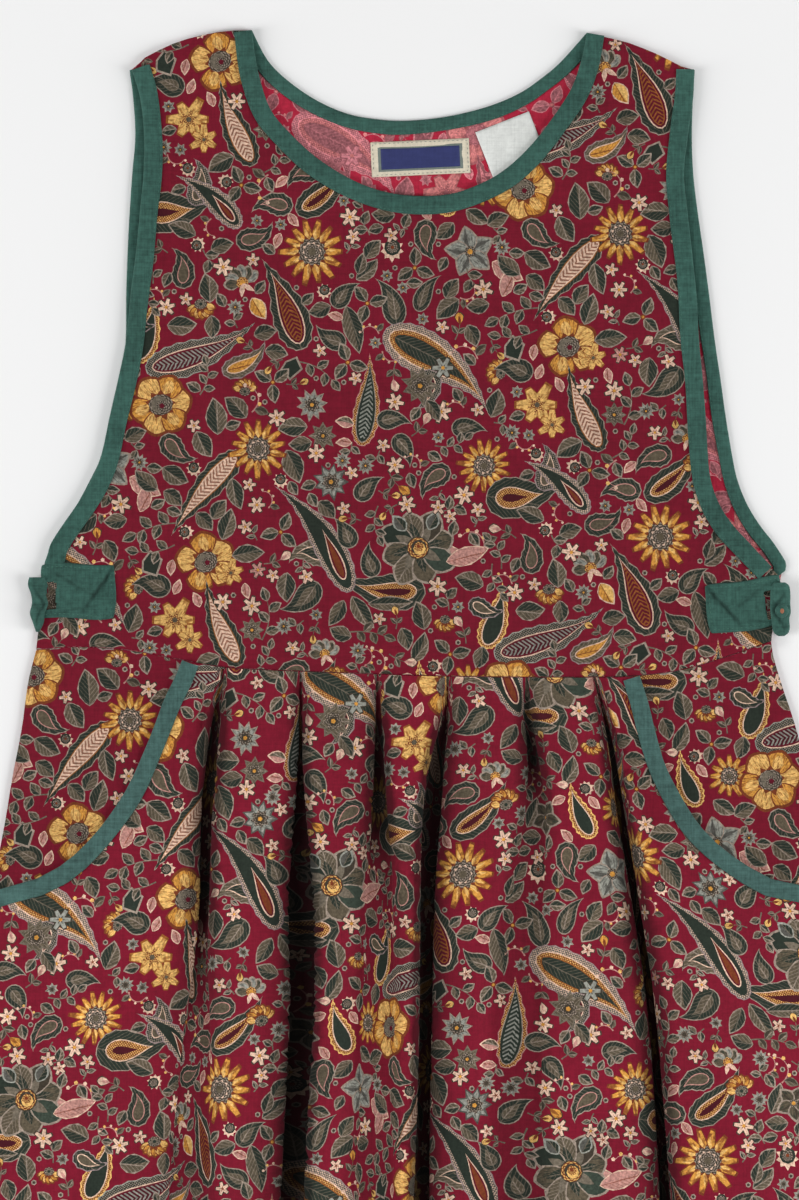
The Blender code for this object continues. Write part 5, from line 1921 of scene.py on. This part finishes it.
def tab_end(row):
    """The ruffled fold of the tab's end past its slot."""
    side, x0, y0, wide, high = row
    sign = -1 if side == "left" else 1
    rows, columns = 44, 16
    base = tab_end_base(row)
    outline = TAB_END_SHAPE if side == "left" else ROUND_END_SHAPE

    def fold(share, level, half):
        """How near a place is to the fold down the middle, 0 to 1."""
        away = (share - 0.45 - 0.2 * math.sin(level * 9)) / half
        return math.exp(-away ** 2) * math.sin(math.pi * level)

    def place(i, j):
        level = j / rows
        inner = table_at(outline, level, 1) * wide
        outer = table_at(outline, level, 2) * wide
        share = i / columns
        x = x0 + sign * (inner + (outer - inner) * share)
        crown = math.sin(math.pi * share) ** 0.6 * (1.9 + 0.9 * math.cos(level * 21))
        crown += 0.35 * math.sin(level * 34 + 2.2 * share) * math.sin(math.pi * share)
        crown -= 0.8 * fold(share, level, 0.10)
        return Vector((x * MM, (y0 - level * high) * MM, base + max(crown, 0.05) * MM))

    def painted_fold_shade_at(spot):
        """How dark the painted shade of the fold down the middle makes a place."""
        level = min(max((y0 - spot.y / MM) / high, 0), 1)
        inner, outer = table_at(outline, level, 1) * wide, table_at(outline, level, 2) * wide
        share = (sign * (spot.x / MM - x0) - inner) / (outer - inner)
        return 0.5 * fold(share, level, 0.12)

    bm = bmesh.new()
    laid_grid(bm, columns, rows, place)
    # Painted shade along the fold down the middle
    crease(bm, painted_fold_shade_at)
    walled(bm, lambda z: z - 1.6 * MM)
    return new_piece(f"tab_end_{side}_cloth", bm, green_cloth)


def covered_button():
    """A low cloth-covered button on the right tab end."""
    x, y = BUTTON_PLACE
    z = tab_end_base(TAB_END_PLACES[1]) + BUTTON_LIFT
    profile = ((0.0, 1.0), (0.35, 0.98), (0.62, 0.86), (0.82, 0.66), (0.95, 0.40), (1.0, 0.16), (0.96, 0.0))
    bm = bmesh.new()
    path = [bm.verts.new((r * BUTTON_WIDE / 2, 0.0, h * BUTTON_HIGH)) for r, h in profile]
    edges = [bm.edges.new(pair) for pair in zip(path, path[1:])]
    bmesh.ops.spin(bm, geom=path + edges, cent=(0, 0, 0), axis=(0, 0, 1), angle=TURN, steps=32,
                   use_merge=True)
    bmesh.ops.remove_doubles(bm, verts=bm.verts, dist=1e-6)
    face_up(bm)
    bmesh.ops.translate(bm, verts=bm.verts, vec=(x * MM, y * MM, z))
    return new_piece("covered_button", bm, green_cloth)


def button_thread():
    """The knot of rust thread on the covered button."""
    x, y = BUTTON_PLACE
    z = tab_end_base(TAB_END_PLACES[1]) + BUTTON_LIFT + BUTTON_HIGH
    bm = bmesh.new()
    bmesh.ops.create_uvsphere(bm, u_segments=14, v_segments=8, radius=1.3 * MM)
    bmesh.ops.scale(bm, verts=bm.verts, vec=(1.0, 1.3, 0.4))
    bmesh.ops.translate(bm, verts=bm.verts, vec=(x * MM, y * MM, z))
    return new_piece("button_thread", bm, rust_thread)


def label_piece(name, size, finish, thick, height=WALL + SEAM, grow=(1.0, 1.0), curl=0.25):
    """A flat woven label with softened corners, very slightly bowed."""
    columns, rows = 36, 18

    def place(i, j):
        across, up = i / columns - 0.5, j / rows - 0.5
        spot = turned(across * size["wide"] * grow[0] * MM, up * size["high"] * grow[1] * MM, size["turn"])
        bow = curl * MM * (math.cos(across * 5) * 0.5 + 0.5 * math.sin(up * 6 + across * 3))
        edge = min(0.5 - abs(across), 0.5 - abs(up))
        rise = thick * (1 - 0.55 * math.exp(-edge * 70)) + max(bow, 0) * min(1, edge * 12)
        return Vector((spot.x + size["x"] * MM, spot.y + size["y"] * MM, height + rise))

    bm = bmesh.new()
    laid_grid(bm, columns, rows, place)
    walled(bm, lambda z: height)
    return new_piece(name, bm, finish)


def label_line(size, inset, height):
    """A line round a label, inset from its edge."""
    half = Vector((size["wide"] / 2 - inset, size["high"] / 2 - inset)) * MM
    corners = [half * Vector(signs) for signs in ((-1, -1), (1, -1), (1, 1), (-1, 1), (-1, -1))]
    path = []
    for a, b in zip(corners, corners[1:]):
        for k in range(16):
            spot = turned(*(a + (b - a) * k / 16), size["turn"])
            path.append((spot.x + size["x"] * MM, spot.y + size["y"] * MM, height))
    return path


class Value:
    """What a socket gives in a shader tree; sums and products of it make math nodes."""

    def __init__(self, socket):
        self.socket = socket
        self.nodes, self.links = socket.id_data.nodes, socket.id_data.links

    def into(self, socket):
        """Feeds a socket."""
        self.links.new(self.socket, socket)

    def maths(self, operation, *others, clamp=False):
        """A math node fed by this value and by other values or numbers."""
        node = self.nodes.new("ShaderNodeMath")
        node.operation = operation
        node.use_clamp = clamp
        for socket, value in zip(node.inputs, (self, *others)):
            if isinstance(value, Value):
                value.into(socket)
            else:
                socket.default_value = value
        return Value(node.outputs[0])

    def __add__(self, other):
        return self.maths("ADD", other)

    def __sub__(self, other):
        return self.maths("SUBTRACT", other)

    def __mul__(self, other):
        return self.maths("MULTIPLY", other)

    def of(self, colour):
        """A colour or a place multiplied by this value."""
        node = self.nodes.new("ShaderNodeVectorMath")
        node.operation = "SCALE"
        if isinstance(colour, Value):
            colour.into(node.inputs[0])
        else:
            node.inputs[0].default_value = colour
        self.into(node.inputs["Scale"])
        return Value(node.outputs[0])

    def noise(self, scale, stretch=None, turn=0.0, detail=3.0, roughness=0.55):
        """Noise at this place, stretched and turned."""
        mapping = self.nodes.new("ShaderNodeMapping")
        mapping.inputs["Scale"].default_value = stretch or (1, 1, 1)
        mapping.inputs["Rotation"].default_value = (0, 0, turn)
        self.into(mapping.inputs["Vector"])
        noise = self.nodes.new("ShaderNodeTexNoise")
        for key, value in (("Scale", scale), ("Detail", detail), ("Roughness", roughness)):
            noise.inputs[key].default_value = value
        self.links.new(mapping.outputs[0], noise.inputs["Vector"])
        return Value(noise.outputs["Fac"])


def node_group(name, inputs, outputs):
    """An empty shader node group, the values that it is given and the sockets of its results."""
    group = bpy.data.node_groups.new(name, "ShaderNodeTree")
    for socket, value in inputs.items():
        kind = "NodeSocketFloat" if isinstance(value, float) else "NodeSocketVector"
        group.interface.new_socket(socket, in_out="INPUT", socket_type=kind).default_value = value
    for socket in outputs:
        group.interface.new_socket(socket, in_out="OUTPUT", socket_type="NodeSocketFloat")
    given = group.nodes.new("NodeGroupInput").outputs
    return group, {key: Value(given[key]) for key in inputs}, group.nodes.new("NodeGroupOutput").inputs


def cloth_group():
    """Thread streaks and mottling, and the height of weave and crinkle, from a place and a thread pitch."""
    group, given, result = node_group(
        "cloth surface", {"Place": (0, 0, 0), "Threads": 2600.0, "Crinkle": 1.0, "Weave": 1.0, "Mottle": 1.0},
        ("Shade", "Height"))
    place = given["Place"]
    across = place.noise(900.0, (1.0, 0.06, 1.0), detail=2.0)
    down = place.noise(900.0, (0.06, 1.0, 1.0), detail=2.0)
    mottle = place.noise(260.0, detail=4.0, roughness=0.7)
    broad = place.noise(22.0, turn=0.4)
    streaks = ((across + down) * 0.5 - 0.5) * 0.55
    shade = streaks + (mottle - 0.5) * 0.40 + (broad - 0.5) * 0.30
    (shade * given["Mottle"] + 1.0).into(result["Shade"])
    waves = []
    for axis in ("X", "Y"):
        wave = group.nodes.new("ShaderNodeTexWave")
        wave.bands_direction = axis
        for key, value in (("Scale", 1.0), ("Distortion", 0.6), ("Detail", 1.0)):
            wave.inputs[key].default_value = value
        (given["Threads"] * 0.05).of(place).into(wave.inputs["Vector"])
        waves.append(Value(wave.outputs["Fac"]))
    weave = (waves[0] + waves[1]) * 0.00004 * given["Weave"]
    folds = place.noise(105.0, (1.0, 0.45, 1.0), 0.5, 3.0, 0.5)
    puckers = place.noise(46.0, (0.5, 1.0, 1.0), -0.35, 2.0, 0.5)
    crinkle = (folds * 0.0011 + puckers * 0.0022) * given["Crinkle"]
    (weave + crinkle + mottle * 0.00012).into(result["Height"])
    return group


def stroke_group():
    """The strokes inside the print's shapes, from a place on a motif's own axes and its pattern's number."""
    group, given, result = node_group("print strokes", {"Drawn": (0, 0, 0), "Place": (0, 0, 0)},
                                      ("Strokes", "Blots"))
    parts = group.nodes.new("ShaderNodeSeparateXYZ")
    given["Drawn"].into(parts.inputs[0])
    shake = (given["Place"].noise(420.0) - 0.5) * 1.4
    along, across = Value(parts.outputs["X"]) + shake, Value(parts.outputs["Y"]) - shake
    off = across.maths("ABSOLUTE")
    reach = (along * along + across * across).maths("SQRT")
    angle = across.maths("ARCTAN2", along)

    def bands(value, apart, share):
        """1 on bands of a value, a share of the distance apart wide."""
        return value.maths("DIVIDE", apart).maths("FRACT").maths("LESS_THAN", share)

    def streaks(first, second, keep):
        """Long uneven strokes along the first value."""
        joined = group.nodes.new("ShaderNodeCombineXYZ")
        first.into(joined.inputs["X"])
        second.into(joined.inputs["Y"])
        noise = group.nodes.new("ShaderNodeTexNoise")
        noise.inputs["Scale"].default_value = 1.0
        noise.inputs["Detail"].default_value = 2.0
        group.links.new(joined.outputs[0], noise.inputs["Vector"])
        return (Value(noise.outputs["Fac"]) - keep).maths("MULTIPLY", 9.0, clamp=True)

    def spots(first, second, keep):
        """Rows of spots, where the sines of two values multiplied pass a limit."""
        return (first.maths("SINE") * second.maths("SINE")).maths("GREATER_THAN", keep)

    masks = {
        "veins": off.maths("LESS_THAN", 0.35).maths("MAXIMUM", bands(along - off * 1.2, 3.2, 0.22) * 0.6),
        "streaks": streaks(along * 0.16, across * 1.1, 0.50),
        "chevrons": bands(along + off * 0.9, 3.0, 0.45),
        "beads": spots(along * 3.5, across * 3.5, 0.12),
        "seeds": spots(angle * 9.0, reach * 3.6, 0.1),
        "rays": streaks(reach * 0.16, angle * 5.0, 0.49),
    }
    total = None
    for name, mask in masks.items():
        share = Value(parts.outputs["Z"]).maths("COMPARE", float(PATTERNS.index(name)), 0.4) * mask
        total = total + share if total else share
    total.into(result["Strokes"])
    given["Place"].noise(640.0, detail=2.0).into(result["Blots"])
    return group


def attribute(nodes, name, output):
    """A mesh attribute's value."""
    node = nodes.new("ShaderNodeAttribute")
    node.attribute_name = name
    return Value(node.outputs[output])


def print_colour(place):
    """The print's colour: its dye, with any painted shade and light of the piece multiplied in, the strokes
    over it and a little unevenness in all but the ground.
    """
    nodes = place.nodes
    strokes = nodes.new("ShaderNodeGroup")
    strokes.node_tree = STROKES
    attribute(nodes, "drawn", "Vector").into(strokes.inputs["Drawn"])
    place.into(strokes.inputs["Place"])
    mix = nodes.new("ShaderNodeMix")
    mix.data_type = "RGBA"
    (Value(strokes.outputs["Strokes"]) * STROKE_STRENGTH).into(mix.inputs[0])
    attribute(nodes, "dye", "Color").into(mix.inputs[6])
    attribute(nodes, "stroke_dye_with_painted_shade", "Color").into(mix.inputs[7])
    mixed = Value(mix.outputs[2])
    parts = nodes.new("ShaderNodeSeparateColor")
    mixed.into(parts.inputs[0])
    uneven = (Value(strokes.outputs["Blots"]) - 0.5) * 1.6
    inked = Value(parts.outputs["Green"]).maths("MULTIPLY", 14.0, clamp=True)
    return (uneven * inked + 1.0).of(mixed)


def material(name, roughness, sheen=0.0):
    """A material, its shader's sockets and the piece's own place."""
    made = bpy.data.materials.new(name)
    made.use_nodes = True
    sockets = made.node_tree.nodes["Principled BSDF"].inputs
    sockets["Roughness"].default_value = roughness
    sockets["Specular IOR Level"].default_value = 0.16
    if sheen:
        sockets["Sheen Weight"].default_value = sheen
        sockets["Sheen Roughness"].default_value = 0.5
    return made, sockets, Value(made.node_tree.nodes.new("ShaderNodeTexCoord").outputs["Object"])


def cloth_material(name, colour, roughness, sheen, threads, crinkle, weave, mottle=1.0, creases=False):
    """Cloth in one colour, or in its print's colours where colour is none; painted crease shade darkens it
    where noted.
    """
    made, sockets, place = material(name, roughness, sheen)
    surface = place.nodes.new("ShaderNodeGroup")
    surface.node_tree = CLOTH
    for key, value in (("Threads", threads), ("Crinkle", crinkle), ("Weave", weave), ("Mottle", mottle)):
        surface.inputs[key].default_value = value
    place.into(surface.inputs["Place"])
    base = print_colour(place) if colour is None else tuple(linear(colour))
    shade = Value(surface.outputs["Shade"])
    # Painted crease shade darkens the colour where a piece notes it
    if creases:
        shade = shade - shade * attribute(place.nodes, "painted_crease_shade", "Fac")
    shade.of(base).into(sockets["Base Color"])
    lift = place.nodes.new("ShaderNodeBump")
    lift.inputs["Strength"].default_value = 0.6
    lift.inputs["Distance"].default_value = 1.0
    Value(surface.outputs["Height"]).into(lift.inputs["Height"])
    Value(lift.outputs["Normal"]).into(sockets["Normal"])
    return made


STROKE_STRENGTH = 0.8
STROKES = stroke_group()
CLOTH = cloth_group()
printed = cloth_material("printed cloth", None, 0.88, 0.04, 2600.0, 1.2, 1.0, 1.4)
green_cloth = cloth_material("green cloth", (55, 91, 82), 0.82, 0.06, 2000.0, 1.3, 1.6, 2.8, True)
pocket_cloth = cloth_material("blue green cloth", (69, 100, 95), 0.82, 0.06, 2000.0, 1.3, 1.6, 2.8)
green_thread = cloth_material("green thread", (78, 122, 106), 0.6, 0.0, 5000.0, 0.0, 1.0)
label_cloth = cloth_material("woven label", (222, 212, 190), 0.6, 0.05, 3600.0, 0.2, 2.0)
navy_weave = cloth_material("navy weave", (54, 60, 108), 0.55, 0.05, 3600.0, 0.2, 2.0)
label_trim = cloth_material("label trim", (118, 128, 122), 0.55, 0.05, 3600.0, 0.2, 2.0)
white_label = cloth_material("white label", (226, 228, 224), 0.5, 0.05, 4200.0, 0.35, 1.0)
red_thread = cloth_material("red thread", (116, 26, 44), 0.6, 0.0, 5000.0, 0.0, 1.0)
rust_thread = cloth_material("rust thread", (158, 104, 78), 0.6, 0.0, 5000.0, 0.0, 1.0)

HEM_DEPTH = 19.0 * MM

DESIGN = design()
MOTIFS = {fineness: drawn(DESIGN, fineness) for fineness in FINENESS}

front, front_edges = front_bodice()
back, back_edges = back_bodice()
skirts, mouth_edges, hem_edges = {}, {}, {}
for side in ("left", "right"):
    skirts[side], mouth_edges[side], hem_edges[side] = front_skirt(side)
rear = back_skirt()
side_fronts = {side: side_front(side) for side in ("left", "right")}

# The ends of bindings that show rounded, and by how much
ROUNDED_ENDS = {"back_arm_binding_right": 7 * MM}
bindings = {}
stitch_lines = []
for layer, edges, heights, width in (("back", back_edges, flat_height, BACK_BINDING_WIDTH),
                                     ("front", front_edges, front_heights, FRONT_BINDING_WIDTH)):
    for k, (edge, node, inward) in enumerate((("neck", f"{layer}_neck_binding", -1),
                                              ("left", f"{layer}_arm_binding_left", -1),
                                              ("right", f"{layer}_arm_binding_right", 1))):
        made, stitched = binding(f"{node}_cloth", edges[edge], inward, width, heights, WALL, green_cloth,
                                 3 * k + len(layer), ROUNDED_ENDS.get(node, 0.0))
        bindings[node] = made
        stitch_lines.append(stitched)
for side, inward in (("left", 1), ("right", -1)):
    path = spaced([Vector(spot) for spot in mouth_edges[side]], 81)
    made, stitched = binding(f"pocket_binding_{side}_cloth", path, inward, POCKET_BINDING_WIDTH,
                             pocket_height, SKIRT_WALL, pocket_cloth, 31 if side == "left" else 37)
    bindings[f"pocket_binding_{side}"] = made
    stitch_lines.append(stitched)

tabs, tab_lines = {}, []
for row in SIDE_TABS:
    made, path = side_tab(row)
    tabs[f"side_tab_{row[0]}"] = made
    tab_lines.append(path)
for row in TAB_END_PLACES:
    tabs[f"tab_end_{row[0]}"] = tab_end(row)
tabs["button_right"] = covered_button()
knot = button_thread()

neck_label = label_piece("neck_label_cloth", NECK_LABEL, label_cloth, 0.6 * MM)
line_frame = label_piece("neck_label_line", NECK_LABEL, label_trim, 0.25 * MM, WALL + SEAM + 0.5 * MM,
                         (0.86, 0.72))
navy = label_piece("neck_label_panel", NECK_LABEL, navy_weave, 0.3 * MM, WALL + SEAM + 0.7 * MM, (0.80, 0.60))
care_label = label_piece("care_label_cloth", CARE_LABEL, white_label, 0.5 * MM, curl=0.5)

green_stitching = stitches("binding_stitching", stitch_lines + tab_lines, green_thread)
label_edge = label_line(NECK_LABEL, 1.2, WALL + SEAM + 0.7 * MM)
label_stitching = stitches("label_stitching", [label_edge], label_trim)
hem_lines = [[(spot[0], spot[1] + HEM_DEPTH, spot[2] + 0.2 * MM) for spot in edge]
             for edge in hem_edges.values()]
hem_stitching = stitches("hem_stitching", hem_lines, red_thread)

for made, node in ((front, "front_bodice"), (back, "back_bodice"), (skirts["left"], "front_skirt"),
                   (skirts["right"], "front_skirt"), (rear, "back_skirt"),
                   (side_fronts["left"], "side_front_left"), (side_fronts["right"], "side_front_right"),
                   (neck_label, "neck_label"), (care_label, "care_label")):
    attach(made, "root")
    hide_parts(node)
for node, made in {**bindings, **tabs}.items():
    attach(made, "root")
    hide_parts(node)
for made, slot in ((navy, "woven_label"), (line_frame, "woven_label"), (hem_stitching, "printed_cloth"),
                   (green_stitching, "green_cloth"), (label_stitching, "woven_label"), (knot, "green_cloth")):
    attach(made, "root")

for side, trimmings in (("left", [hem_stitching]), ("right", [])):
    [bindings[f"pocket_binding_{side}"]] + trimmings

floor_mesh = bmesh.new()
bmesh.ops.create_grid(floor_mesh, x_segments=2, y_segments=2, size=6.0)
floor_finish, sockets, _ = material("pale floor", 0.9)
sockets["Base Color"].default_value = (0.97, 0.97, 0.97, 1)
bmesh.ops.translate(floor_mesh, verts=floor_mesh.verts, vec=(0, 0, -0.0004))
floor = new_piece("floor", floor_mesh, floor_finish, False)

CAMERA_HIGH = 3.2
# The photo's size in chart steps
PHOTO_WIDE, PHOTO_HIGH = 799, 1200
VIEW_HIGH = PHOTO_HIGH * CHART_STEP * MM
VIEW_MIDDLE = [value * MM for value in chart_place(PHOTO_WIDE / 2, PHOTO_HIGH / 2)]
camera_data = bpy.data.cameras.new("camera")
camera_data.sensor_fit = "VERTICAL"
camera_data.angle = 2 * math.atan(VIEW_HIGH / 2 / CAMERA_HIGH)
camera = bpy.data.objects.new("camera", camera_data)
camera.location = (*VIEW_MIDDLE, CAMERA_HIGH)
bpy.context.scene.collection.objects.link(camera)
bpy.context.scene.camera = camera


def softbox(name, place, aim, wide, power, tall=None):
    """A soft area light."""
    data = bpy.data.lights.new(name, "AREA")
    data.shape = "RECTANGLE"
    data.size, data.size_y = wide, tall or wide
    data.energy = power
    light = bpy.data.objects.new(name, data)
    light.location = place
    light.rotation_euler = (Vector(aim) - Vector(place)).to_track_quat("-Z", "Y").to_euler()
    bpy.context.scene.collection.objects.link(light)


softbox("left softbox", (-2.7, -0.25, 1.25), (0, -0.1, 0), 1.1, 76, 2.6)
softbox("right softbox", (2.7, -0.35, 1.25), (0, -0.1, 0), 1.1, 79, 2.6)
softbox("top softbox", (0, 2.6, 2.2), (0, 0.2, 0), 2.4, 19, 1.0)
world = bpy.data.worlds.new("studio")
world.use_nodes = True
world.node_tree.nodes["Background"].inputs["Color"].default_value = (1, 1, 1, 1)
world.node_tree.nodes["Background"].inputs["Strength"].default_value = 0.20
bpy.context.scene.world = world
bpy.context.scene.view_settings.view_transform = "Standard"
